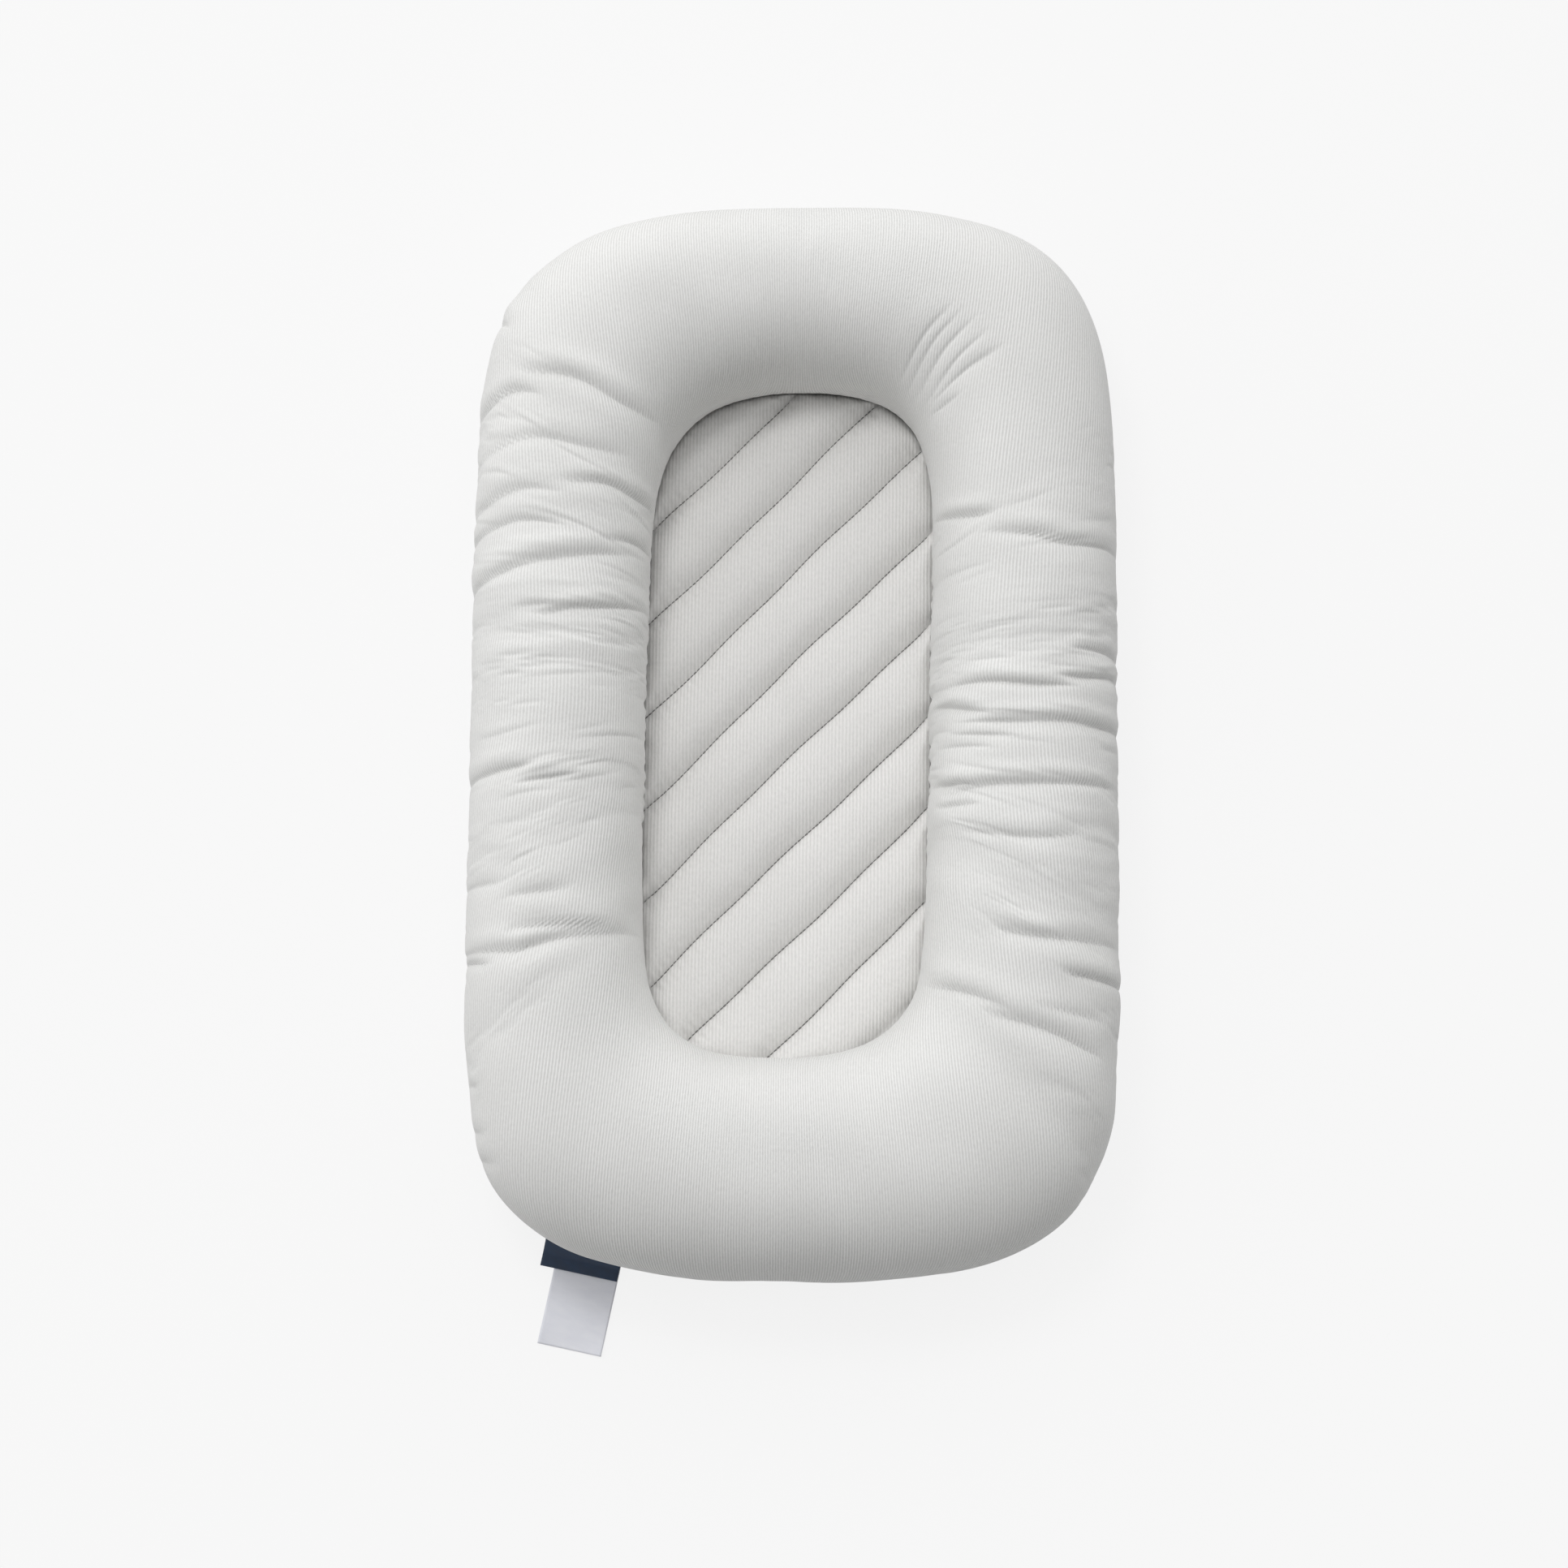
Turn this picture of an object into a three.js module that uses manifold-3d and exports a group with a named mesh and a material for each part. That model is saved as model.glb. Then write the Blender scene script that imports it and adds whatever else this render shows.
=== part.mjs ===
// Infant lounger: a fibre-filled ring bolster round a quilted pad, in a removable zipped cover.
// Sizes are in millimetres. X runs across, +Y towards the head end and +Z up.
// The origin is on the floor, under the middle of the lounger.
import * as THREE from "three";
import { mergeVertices } from "three/addons/utils/BufferGeometryUtils.js";
import Module from "manifold-3d";

// Whole lounger
const loungerLength = 800;
const loungerWidth = 478;
const loungerHeight = 140;

// Hollow inside the bolster, measured where the bolster is widest
const bayLength = 504;
const bayWidth = 209;
const bayShift = 12;

// Squareness of each end in plan, as powers of the distances across and along
const headPowers = [3.3, 6.4];
const footPowers = [3.2, 7];
const bayHeadPowers = [3.1, 4.2];
const bayFootPowers = [3.6, 4.8];

// Bolster section
const equatorHeight = 62;
const bottomSettle = 5;
const sectionSquareness = 2.3;
const stationCount = 56;
const cornerSpacing = 150;
const topSectionSteps = 8;
const rimAngle = THREE.MathUtils.degToRad(-55);
const flatAngle = THREE.MathUtils.degToRad(-70);
const innerFlatAngle = THREE.MathUtils.degToRad(-112);
const innerTuckAngle = THREE.MathUtils.degToRad(-135);

// Cloths, and the gap left between touching pieces
const coverCloth = 1.2;
const casingCloth = 0.6;
const clearance = 0.3;
const cutOverrun = 5;

// Seams of the cover
const innerSeamHeight = 27;
const outerSeamHeight = 16;
const bindingRadius = 1.5;
const bindingSides = 6;
const padGap = 3;

// Layers under and in the quilted pad
const basePadThickness = 12;
const backingCloth = 0.8;
const faceCloth = 1;
const waddingAtStitch = 5;
const channelRise = 14;
const edgeRise = 10;
const edgeRoundWidth = 12;
const edgeRoundRise = 9.5;
const edgeRoundSteps = 2;

// Diagonal quilting
const quiltPitch = 49.2;
const quiltShift = -5;
const quiltAngle = THREE.MathUtils.degToRad(45);
const stitchRows = 8;
const middleRow = 5;
const channelSteps = 6;
const channelFullness = 0.75;
const threadWidth = 1.2;
const threadThickness = 0.6;
const threadLift = 1.2;
const threadEndGap = 4;

// Zip across the underside, between the pad and the foot edge, closed towards +X
const zipSetBack = 32;
const zipPlace = bayShift - bayLength / 2 - zipSetBack;
const zipMargin = 89;
const zipLength = loungerWidth - 2 * zipMargin;
const coilHeight = 8.5;
const coilWidth = 2.4;
const coilThickness = 2.2;
const coilGap = 1.2;
const tapeWidth = 10.7;
const tapeThickness = 0.8;
const tapeTail = 17;
const stopLength = 3.5;
const stopThickness = 3;
const facingCloth = 1;
const facingLip = 7;
const facingFall = 4.7;
const facingEdge = 6;
const facingLift = 0.1;
const endTabDepth = 5.4;
const tunnelTopHalfWidth = 16;
const tunnelSlope = 8;
const tunnelHeadroom = 1.2;

// Zip slider and its pull
const sliderLength = 12;
const sliderWidth = 9;
const sliderPlate = 1.1;
const sliderLip = 0.9;
const sliderLipDrop = 0.6;
const postLength = 3;
const postWidth = 0.6;
const crownLength = 8;
const crownWidth = 1.4;
const crownBar = 1.2;
const crownWindow = 1.8;
const pullBar = 1.2;
const barSides = 24;
const pullArmWidth = 1.2;
const pullArmLength = 4.7;
const pullWidth = 5;
const pullLength = 24;

// Labels in the outer seam, near the left foot corner
const labelDirection = THREE.MathUtils.degToRad(236);
const labelTilt = THREE.MathUtils.degToRad(-13.8);
const labelTuck = 6;
const labelDropLength = 24;
const navyWidth = 58;
const navyLength = 31;
const navyThickness = 0.9;
const careWidth = 48;
const careLength = 84;
const careThickness = 0.5;
const labelLift = 0.3;

// Colours
const ribCloth = { color: 0xe3e3e2, roughness: 0.92, metalness: 0 };
const quiltCloth = { color: 0xdedfdf, roughness: 0.92, metalness: 0 };
const liningCloth = { color: 0xf1f0ec, roughness: 0.95, metalness: 0 };
const whiteFibre = { color: 0xf7f7f4, roughness: 1, metalness: 0 };
const seamThread = { color: 0x8e8e8d, roughness: 0.8, metalness: 0 };
const zipTape = { color: 0xd9d9d8, roughness: 0.85, metalness: 0 };
const zipNylon = { color: 0xcfcfce, roughness: 0.4, metalness: 0 };
const zipMetal = { color: 0xb9bbbd, roughness: 0.35, metalness: 1 };
const navyRibbon = { color: 0x14304d, roughness: 0.6, metalness: 0 };
const whiteRibbon = { color: 0xd9dbe2, roughness: 0.5, metalness: 0 };

const wasm = await Module();
wasm.setup();
const lounger = new THREE.Group();

function addPart(name, geometry, look) {
  const mesh = new THREE.Mesh(geometry, new THREE.MeshStandardMaterial(look));
  mesh.name = name;
  lounger.add(mesh);
  return mesh;
}

function solidOf(geometry) {
  const bare = geometry.clone();
  bare.deleteAttribute("normal");
  bare.deleteAttribute("uv");
  const merged = mergeVertices(bare);
  return new wasm.Manifold(
    new wasm.Mesh({
      numProp: 3,
      vertProperties: new Float32Array(merged.attributes.position.array),
      triVerts: new Uint32Array(merged.index.array),
    }),
  );
}

function geometryOf(solid) {
  const mesh = solid.getMesh();
  const geometry = new THREE.BufferGeometry();
  geometry.setAttribute("position", new THREE.BufferAttribute(mesh.vertProperties, 3));
  geometry.setIndex(new THREE.BufferAttribute(mesh.triVerts, 1));
  geometry.computeVertexNormals();
  return geometry;
}

// A box between two corners, as a solid.
function boxSolid(low, high) {
  const size = high.clone().sub(low);
  const middle = low.clone().add(high).multiplyScalar(0.5);
  const box = new THREE.BoxGeometry(size.x, size.y, size.z);
  return solidOf(box.translate(middle.x, middle.y, middle.z));
}

const point = (x, y, z) => new THREE.Vector3(x, y, z);

// Outlines in plan are rounded rectangles, whose two ends differ in squareness.
const outerOutline = {
  halfWidth: loungerWidth / 2,
  halfLength: loungerLength / 2,
  shift: 0,
  ends: [headPowers, footPowers],
};
const bayOutline = {
  halfWidth: bayWidth / 2,
  halfLength: bayLength / 2,
  shift: bayShift,
  ends: [bayHeadPowers, bayFootPowers],
};

// The outline's point in this direction, where (x / halfWidth) ^ p + (y / halfLength) ^ q is 1.
function outlinePoint(outline, direction) {
  const across = Math.cos(direction);
  const along = Math.sin(direction);
  const [p, q] = outline.ends[along >= 0 ? 0 : 1];
  let [inside, outside] = [0, 2];
  for (let halving = 0; halving < 40; halving++) {
    const reach = (inside + outside) / 2;
    const sum = Math.abs(across * reach) ** p + Math.abs(along * reach) ** q;
    if (sum < 1) inside = reach;
    else outside = reach;
  }
  return new THREE.Vector2(
    outline.halfWidth * across * inside,
    outline.shift + outline.halfLength * along * inside,
  );
}

// A station is one upright cut through the bolster, from the bay outwards.
function stationAt(direction) {
  const inner = outlinePoint(bayOutline, direction);
  const outer = outlinePoint(outerOutline, direction);
  const outward = outer.clone().sub(inner);
  return {
    middle: inner.clone().add(outer).multiplyScalar(0.5),
    halfWidth: outward.length() / 2,
    outward: outward.normalize(),
  };
}

// Directions that space the stations along the bolster, evenly but closer together in its corners.
function evenDirections(count) {
  const fineSteps = 20 * count;
  const turn = 2 * Math.PI;
  const lengths = [0];
  for (let i = 1; i <= fineSteps; i++) {
    const before = stationAt((turn * (i - 1)) / fineSteps);
    const after = stationAt((turn * i) / fineSteps);
    const run = before.middle.distanceTo(after.middle);
    const bend = before.outward.distanceTo(after.outward);
    lengths.push(lengths[i - 1] + run + cornerSpacing * bend);
  }
  const directions = [];
  for (let i = 0, k = 0; i < count; i++) {
    const wanted = (lengths[fineSteps] * i) / count;
    while (lengths[k + 1] < wanted) k++;
    const share = (wanted - lengths[k]) / (lengths[k + 1] - lengths[k]);
    directions.push((turn * (k + share)) / fineSteps);
  }
  return directions;
}

const stations = evenDirections(stationCount).map(stationAt);

const signedPower = (value, power) => Math.sign(value) * Math.abs(value) ** power;

// A point of the bolster's section: angle 0 faces out, 90 degrees up and 180 degrees the bay.
function sectionPoint(station, angle, inset) {
  const power = 2 / sectionSquareness;
  const across = signedPower(Math.cos(angle), power) * (station.halfWidth - inset);
  const rise = signedPower(Math.sin(angle), power);
  const reach = rise > 0 ? loungerHeight - equatorHeight : equatorHeight + bottomSettle;
  const plan = station.middle.clone().addScaledVector(station.outward, across);
  return point(plan.x, plan.y, Math.max(equatorHeight + rise * (reach - inset), inset));
}

// The angle under the equator, on the outer side, at which the section has this height.
function angleAtHeight(height) {
  const share = (equatorHeight - height) / (equatorHeight + bottomSettle);
  return -Math.asin(share ** (sectionSquareness / 2));
}

const outerSeamAngle = angleAtHeight(outerSeamHeight);
const innerSeamAngle = Math.PI - angleAtHeight(innerSeamHeight);

// Two triangles for a quad whose corners a, b, c and d run anticlockwise seen from outside.
function quad(a, b, c, d, otherDiagonal) {
  return otherDiagonal ? [a, b, d, b, c, d] : [a, b, c, a, c, d];
}

// A closed ring whose cut at each station is a closed polygon. A cloth's polygon comes back along
// itself, and the diagonals of its inside follow those of its outside.
function ringGeometry(sectionOf, isCloth = false) {
  const sections = stations.map(sectionOf);
  const size = sections[0].length;
  const index = [];
  for (let s = 0; s < stationCount; s++) {
    const next = (s + 1) % stationCount;
    for (let p = 0; p < size; p++) {
      const q = (p + 1) % size;
      const [a, b] = [s * size + p, s * size + q];
      const [c, d] = [next * size + q, next * size + p];
      index.push(...quad(a, d, c, b, isCloth && p >= size / 2));
    }
  }
  return new THREE.BufferGeometry().setFromPoints(sections.flat()).setIndex(index);
}

// A cloth that follows the bolster's section through the angles, with its two ends drawn back.
function ringCloth(angles, outerInset, innerInset, drawnBack = 0) {
  return ringGeometry((station) => {
    const [outside, inside] = [outerInset, innerInset].map((inset) => {
      const path = angles.map((angle) => sectionPoint(station, angle, inset));
      const ends = [path.slice(0, 2), path.slice(-2).toReversed()];
      for (const [end, neighbour] of ends) {
        end.addScaledVector(neighbour.clone().sub(end).normalize(), drawnBack);
      }
      return path;
    });
    return [...outside, ...inside.toReversed()];
  }, true);
}

// A round binding that runs along the section point at the given angle.
function ringBinding(angle, inset) {
  return ringGeometry((station) => {
    const centre = sectionPoint(station, angle, inset);
    const sides = [...Array(bindingSides).keys()];
    return sides.map((side) => {
      const turn = (2 * Math.PI * side) / bindingSides;
      const across = bindingRadius * Math.cos(turn);
      const { x, y } = station.outward;
      return point(x * across, y * across, bindingRadius * Math.sin(turn)).add(centre);
    });
  });
}

// A disc lofted through loops of one point per station, from its lower face to its upper face.
function discGeometry(loops, isCloth = false) {
  const index = [];
  for (let i = 0; i + 1 < loops.length; i++) {
    for (let s = 0; s < stationCount; s++) {
      const next = (s + 1) % stationCount;
      const [a, b] = [i * stationCount + s, i * stationCount + next];
      const [c, d] = [b + stationCount, a + stationCount];
      index.push(...quad(a, b, c, d, isCloth && i >= loops.length / 2));
    }
  }
  const top = (loops.length - 1) * stationCount;
  const plan = loops[0].map((p) => new THREE.Vector2(p.x, p.y));
  for (const [a, b, c] of THREE.ShapeUtils.triangulateShape(plan, [])) {
    index.push(a, c, b);
    index.push(top + a, top + b, top + c);
  }
  return new THREE.BufferGeometry().setFromPoints(loops.flat()).setIndex(index);
}

// The bolster's layers share their angles, so their facets lie parallel.
const topAngles = [...Array(topSectionSteps + 1).keys()].map((i) => (Math.PI * i) / topSectionSteps);
const innerAngles = [innerSeamAngle - 2 * Math.PI, innerTuckAngle, innerFlatAngle];
const bottomAngles = [-Math.PI, ...innerAngles, flatAngle, rimAngle, outerSeamAngle, 0];

// Ribbed skin of the bolster, open underneath between its two seams.
const coverAngles = [outerSeamAngle, ...topAngles, innerSeamAngle];
addPart("cover_bolster", ringCloth(coverAngles, 0, coverCloth), ribCloth);

// The lining cloths that hold the fibre, sewn together at the equator.
const casingOuter = coverCloth + clearance;
const casingInner = casingOuter + casingCloth;
const fibreInset = casingInner + clearance;
const casingTop = ringCloth(topAngles, casingOuter, casingInner, clearance);
const casingBottom = ringCloth(bottomAngles, casingOuter, casingInner, clearance);
addPart("insert_casing_top", casingTop, liningCloth);
const fibreAngles = [...topAngles, ...bottomAngles.slice(1, -1)];
const fibre = ringGeometry((station) =>
  fibreAngles.map((angle) => sectionPoint(station, angle, fibreInset)),
);

// Seam bindings, each just under the edge of the bolster's skin.
const bindingDrop = bindingRadius + clearance;
const innerBindingAngle = Math.PI - angleAtHeight(innerSeamHeight - bindingDrop);
const outerBindingAngle = angleAtHeight(outerSeamHeight - bindingDrop);
const seamInset = coverCloth - bindingRadius;
addPart("inner_seam_binding", ringBinding(innerBindingAngle, seamInset), seamThread);
addPart("outer_seam_binding", ringBinding(outerBindingAngle, seamInset), ribCloth);

// The pad's edge stands just inside the inner binding.
function padLoop(inwards, height) {
  return stations.map((station) => {
    const seam = sectionPoint(station, innerBindingAngle, seamInset);
    const reach = padGap + inwards;
    return point(seam.x - station.outward.x * reach, seam.y - station.outward.y * reach, height);
  });
}

const basePadBottom = casingOuter;
const backingBottom = basePadBottom + basePadThickness + clearance;
const waddingBottom = backingBottom + backingCloth + clearance;
const faceOnWadding = clearance + faceCloth;
const padEdgeHeight = waddingBottom + edgeRise + faceOnWadding;
const stitchHeight = waddingBottom + waddingAtStitch + faceOnWadding;

function padLayer(bottom, thickness) {
  return discGeometry([padLoop(0, bottom), padLoop(0, bottom + thickness)]);
}
addPart("insert_base_pad", padLayer(basePadBottom, basePadThickness), whiteFibre);
addPart("pad_backing", padLayer(backingBottom, backingCloth), liningCloth);

// Rounded edge of the pad, smaller all round by the offset.
function padDome(offset) {
  const loops = [padLoop(offset, waddingBottom)];
  for (let step = 0; step <= edgeRoundSteps; step++) {
    const turn = ((Math.PI / 2) * step) / edgeRoundSteps;
    const inwards = offset + edgeRoundWidth * (1 - Math.cos(turn));
    loops.push(padLoop(inwards, padEdgeHeight - offset + edgeRoundRise * Math.sin(turn)));
  }
  return solidOf(discGeometry(loops));
}

// World axes of the quilting: across the rows, up, and along the rows.
const acrossRows = point(-Math.sin(quiltAngle), Math.cos(quiltAngle), 0);
const alongRows = point(Math.cos(quiltAngle), Math.sin(quiltAngle), 0);
const upwards = point(0, 0, 1);
const quiltBasis = new THREE.Matrix4().makeBasis(acrossRows, upwards, alongRows);
const rowPlace = (row) => quiltShift + (middleRow - row) * quiltPitch;

// A slab whose upper face rises between the rows of stitches, as wide as the whole pad.
function channelSlab(offset) {
  const low = waddingBottom - cutOverrun;
  const profile = [new THREE.Vector2(rowPlace(-1), low)];
  for (let row = -1; row <= stitchRows + 1; row++) {
    for (let step = 0; step < channelSteps; step++) {
      const share = step / channelSteps;
      const rise = channelRise * Math.sin(Math.PI * share) ** channelFullness;
      const place = rowPlace(row) - share * quiltPitch;
      profile.push(new THREE.Vector2(place, stitchHeight + rise - offset));
    }
  }
  const end = rowPlace(stitchRows + 2);
  profile.push(new THREE.Vector2(end, stitchHeight - offset), new THREE.Vector2(end, low));
  const slab = new THREE.ExtrudeGeometry(new THREE.Shape(profile), {
    depth: loungerLength,
    bevelEnabled: false,
  });
  return solidOf(slab.translate(0, 0, -loungerLength / 2).applyMatrix4(quiltBasis));
}

function quiltedPad(offset) {
  return channelSlab(offset).intersect(padDome(offset));
}
const padInside = quiltedPad(faceCloth);
addPart("pad_face", geometryOf(quiltedPad(0).subtract(padInside)), quiltCloth);
addPart("pad_wadding", geometryOf(quiltedPad(faceOnWadding)), whiteFibre);

// One row of quilting thread lies along the bottom of each valley.
const threadField = solidOf(
  discGeometry([padLoop(threadEndGap, waddingBottom), padLoop(threadEndGap, loungerHeight)]),
);
for (let row = 1; row <= stitchRows; row++) {
  const thread = new THREE.BoxGeometry(threadWidth, threadThickness, loungerLength);
  const height = stitchHeight + threadLift + threadThickness / 2;
  thread.translate(rowPlace(row), height, 0).applyMatrix4(quiltBasis);
  addPart(`quilt_stitch_${row}`, geometryOf(solidOf(thread).intersect(threadField)), seamThread);
}

// Zip parts are drawn as a profile across the zip, of (distance from its middle, height), run along X.
function zipStrip(profile, from, to) {
  const strip = new THREE.ExtrudeGeometry(
    new THREE.Shape(profile.map(([y, z]) => new THREE.Vector2(y, z))),
    { depth: to - from, bevelEnabled: false },
  );
  const basis = new THREE.Matrix4().makeBasis(point(0, 1, 0), point(0, 0, 1), point(1, 0, 0));
  return strip.applyMatrix4(basis).translate(from, zipPlace, 0);
}
const rectangle = (y0, y1, z0, z1) => [
  [y0, z0],
  [y1, z0],
  [y1, z1],
  [y0, z1],
];

const tapeInner = coilGap / 2 + coilWidth + clearance;
const tapeOuter = tapeInner + tapeWidth;
const tapeBottom = coilHeight - tapeThickness / 2;
const facingTop = tapeBottom - clearance;
const facingOuter = facingEdge + facingLip + facingFall;
const slotHalfWidth = facingOuter + clearance;
const stopOuter = zipLength / 2;
const stopInner = stopOuter - stopLength;
const coilEnd = stopInner - clearance;
const coilStart = tapeTail - coilEnd;
const slotEnd = stopOuter + clearance + endTabDepth + clearance;
const facingProfile = [
  [facingEdge, facingTop - facingCloth],
  [facingEdge + facingLip, facingTop - facingCloth],
  [facingOuter - facingCloth, facingLift],
  [facingOuter, facingLift],
  [facingOuter, coverCloth],
  [facingEdge + facingLip, facingTop],
  [facingEdge, facingTop],
];
for (const [side, sign] of [["head", 1], ["foot", -1]]) {
  const sided = (profile) => profile.map(([y, z]) => [sign * y, z]);
  const coil = rectangle(
    coilGap / 2,
    coilGap / 2 + coilWidth,
    coilHeight - coilThickness / 2,
    coilHeight + coilThickness / 2,
  );
  const tape = rectangle(tapeInner, tapeOuter, tapeBottom, tapeBottom + tapeThickness);
  addPart(`zip_coil_${side}`, zipStrip(sided(coil), coilStart, coilEnd), zipNylon);
  addPart(`zip_tape_${side}`, zipStrip(sided(tape), -stopOuter, stopOuter), zipTape);
  addPart(`zip_facing_${side}`, zipStrip(sided(facingProfile), -stopOuter, stopOuter), quiltCloth);
}

// The stops stand between the tapes, past the ends of the coils. The tapes run on past the left one,
// which leaves room for the pull when the slider has come that far.
const stopHalfWidth = tapeInner - clearance;
const stopProfile = rectangle(
  -stopHalfWidth,
  stopHalfWidth,
  coilHeight - stopThickness / 2,
  coilHeight + stopThickness / 2,
);
addPart("zip_top_stop", zipStrip(stopProfile, stopInner, stopOuter), zipMetal);
addPart(
  "zip_bottom_stop",
  zipStrip(stopProfile, tapeTail - stopOuter, tapeTail - stopInner),
  zipMetal,
);

// Cloth tabs close the two ends of the slot in the underside.
for (const [side, sign] of [["right", 1], ["left", -1]]) {
  const near = stopOuter + clearance;
  const far = near + endTabDepth;
  const profile = [
    [near, facingTop + facingCloth],
    [near, facingTop - facingCloth],
    [far - facingCloth, facingLift],
    [far, facingLift],
    [far, coverCloth],
    [near + facingCloth, facingTop + facingCloth],
  ];
  const shape = new THREE.Shape(profile.map(([x, z]) => new THREE.Vector2(sign * x, z)));
  const tab = new THREE.ExtrudeGeometry(shape, { depth: 2 * facingOuter, bevelEnabled: false });
  tab.rotateX(Math.PI / 2).translate(0, zipPlace + facingOuter, 0);
  addPart(`zip_end_tab_${side}`, tab, quiltCloth);
}

// The insert leaves room for the zip along a tunnel with sloping sides.
const tunnelTop = coilHeight + stopThickness / 2 + sliderPlate + tunnelHeadroom;
const tunnelFoot = tunnelTopHalfWidth + tunnelSlope;
const tunnelEnd = slotEnd + clearance;
const tunnel = solidOf(
  zipStrip(
    [
      [-tunnelFoot, -cutOverrun],
      [tunnelFoot, -cutOverrun],
      [tunnelFoot, casingOuter],
      [tunnelTopHalfWidth, tunnelTop],
      [-tunnelTopHalfWidth, tunnelTop],
      [-tunnelFoot, casingOuter],
    ],
    -tunnelEnd,
    tunnelEnd,
  ),
);
addPart("insert_casing_bottom", geometryOf(solidOf(casingBottom).subtract(tunnel)), liningCloth);
const fibreCut = tunnel.translate(0, 0, casingCloth + clearance);
addPart("fibre_filling", geometryOf(solidOf(fibre).subtract(fibreCut)), whiteFibre);

// The underside is flat, turns up at its rim to the outer seam and is parted at the zip.
const baseAngles = [flatAngle, rimAngle, outerSeamAngle];
const baseLoop = (angle, inset) => stations.map((station) => sectionPoint(station, angle, inset));
const bindingGap = angleAtHeight(outerSeamHeight - 2 * bindingDrop);
const rimAngles = baseAngles.map((angle) => Math.min(angle, bindingGap));
const baseLoops = [
  ...rimAngles.map((angle) => baseLoop(angle, 0)),
  ...rimAngles.toReversed().map((angle) => baseLoop(angle, coverCloth)),
];
const base = solidOf(discGeometry(baseLoops, true));
const slot = boxSolid(
  point(-slotEnd, zipPlace - slotHalfWidth, -cutOverrun),
  point(slotEnd, zipPlace + slotHalfWidth, outerSeamHeight),
);
for (const [side, sign] of [["head", 1], ["foot", -1]]) {
  const parting = zipPlace + (sign * clearance) / 2;
  const far = zipPlace + sign * loungerLength;
  const half = boxSolid(
    point(-loungerWidth, Math.min(parting, far), -cutOverrun),
    point(loungerWidth, Math.max(parting, far), loungerHeight),
  );
  addPart(`base_panel_${side}`, geometryOf(base.intersect(half).subtract(slot)), quiltCloth);
}

// Slider, parked at the closed end of the zip. Its own frame has its middle at the coil.
const sliderParts = [];
const sliderBox = (x0, x1, halfWidth, z0, z1) =>
  sliderParts.push(boxSolid(point(x0, -halfWidth, z0), point(x1, halfWidth, z1)));
const channelHalfHeight = coilThickness / 2 + clearance;
const plateOuter = channelHalfHeight + sliderPlate;
const halfSlider = sliderLength / 2;
sliderBox(-halfSlider, halfSlider, sliderWidth / 2, channelHalfHeight, plateOuter);
sliderBox(-halfSlider, halfSlider, sliderWidth / 2, -plateOuter, -channelHalfHeight);
sliderBox(halfSlider - postLength, halfSlider, postWidth / 2, -plateOuter, plateOuter);
for (const sign of [-1, 1]) {
  for (const level of [-1, 1]) {
    const inner = sign * (sliderWidth / 2 - sliderLip);
    const outer = (sign * sliderWidth) / 2;
    const near = level * (channelHalfHeight - sliderLipDrop);
    const far = level * plateOuter;
    sliderParts.push(
      boxSolid(
        point(-halfSlider, Math.min(inner, outer), Math.min(near, far)),
        point(halfSlider, Math.max(inner, outer), Math.max(near, far)),
      ),
    );
  }
}
const crownBottom = -plateOuter - crownWindow - crownBar;
sliderBox(-crownLength / 2, crownLength / 2, crownWidth / 2, crownBottom, crownBottom + crownBar);
for (const sign of [-1, 1]) {
  const outer = (sign * crownLength) / 2;
  const inner = outer - sign * crownBar;
  sliderBox(Math.min(inner, outer), Math.max(inner, outer), crownWidth / 2, crownBottom, -plateOuter);
}
const slider = sliderParts.reduce((whole, piece) => whole.add(piece));
const sliderX = coilEnd - clearance - halfSlider;
addPart("zip_slider", geometryOf(slider), zipMetal).position.set(sliderX, zipPlace, coilHeight);

// The pull turns on a bar through the slider's crown, and lies along the zip towards -X.
const armInner = crownWidth / 2 + clearance;
const armOuter = armInner + pullArmWidth;
const halfPull = pullBar / 2;
const pullStart = -pullArmLength;
const bar = new THREE.CylinderGeometry(halfPull, halfPull, 2 * armOuter, barSides);
let pull = solidOf(bar).add(
  boxSolid(
    point(-pullLength, -pullWidth / 2, -halfPull),
    point(pullStart, pullWidth / 2, halfPull),
  ),
);
for (const sign of [-1, 1]) {
  pull = pull.add(
    boxSolid(
      point(pullStart - halfPull, Math.min(sign * armInner, sign * armOuter), -halfPull),
      point(0, Math.max(sign * armInner, sign * armOuter), halfPull),
    ),
  );
}
const pullHeight = coilHeight - plateOuter - crownWindow / 2;
addPart("zip_pull", geometryOf(pull), zipMetal).position.set(sliderX, zipPlace, pullHeight);

// Labels hang from the outer seam, fall to the floor and lie on it. They start at the binding.
const seamRoom = seamInset - bindingRadius - 3 * clearance;
const insideSeam = solidOf(
  discGeometry(
    [flatAngle, rimAngle, outerSeamAngle, 0, topAngles[1]].map((angle) => baseLoop(angle, seamRoom)),
  ),
);

function label(name, width, length, thickness, lift, look) {
  const station = stationAt(labelDirection);
  const seam = sectionPoint(station, outerBindingAngle, seamInset);
  const start = -labelTuck;
  const top = seam.z + lift - labelLift;
  const profile = [
    [start, top],
    [start + labelDropLength, lift],
    [length, lift],
    [length, lift + thickness],
    [start + labelDropLength, lift + thickness],
    [start, top + thickness],
  ];
  const shape = new THREE.Shape(profile.map(([s, z]) => new THREE.Vector2(s, z)));
  const strip = new THREE.ExtrudeGeometry(shape, { depth: width, bevelEnabled: false });
  const away = point(Math.sin(labelTilt), -Math.cos(labelTilt), 0);
  const sideways = away.clone().cross(upwards);
  strip.translate(0, 0, -width / 2);
  strip.applyMatrix4(new THREE.Matrix4().makeBasis(away, upwards, sideways));
  strip.translate(seam.x, seam.y, 0);
  addPart(name, geometryOf(solidOf(strip).subtract(insideSeam)), look);
}
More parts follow.
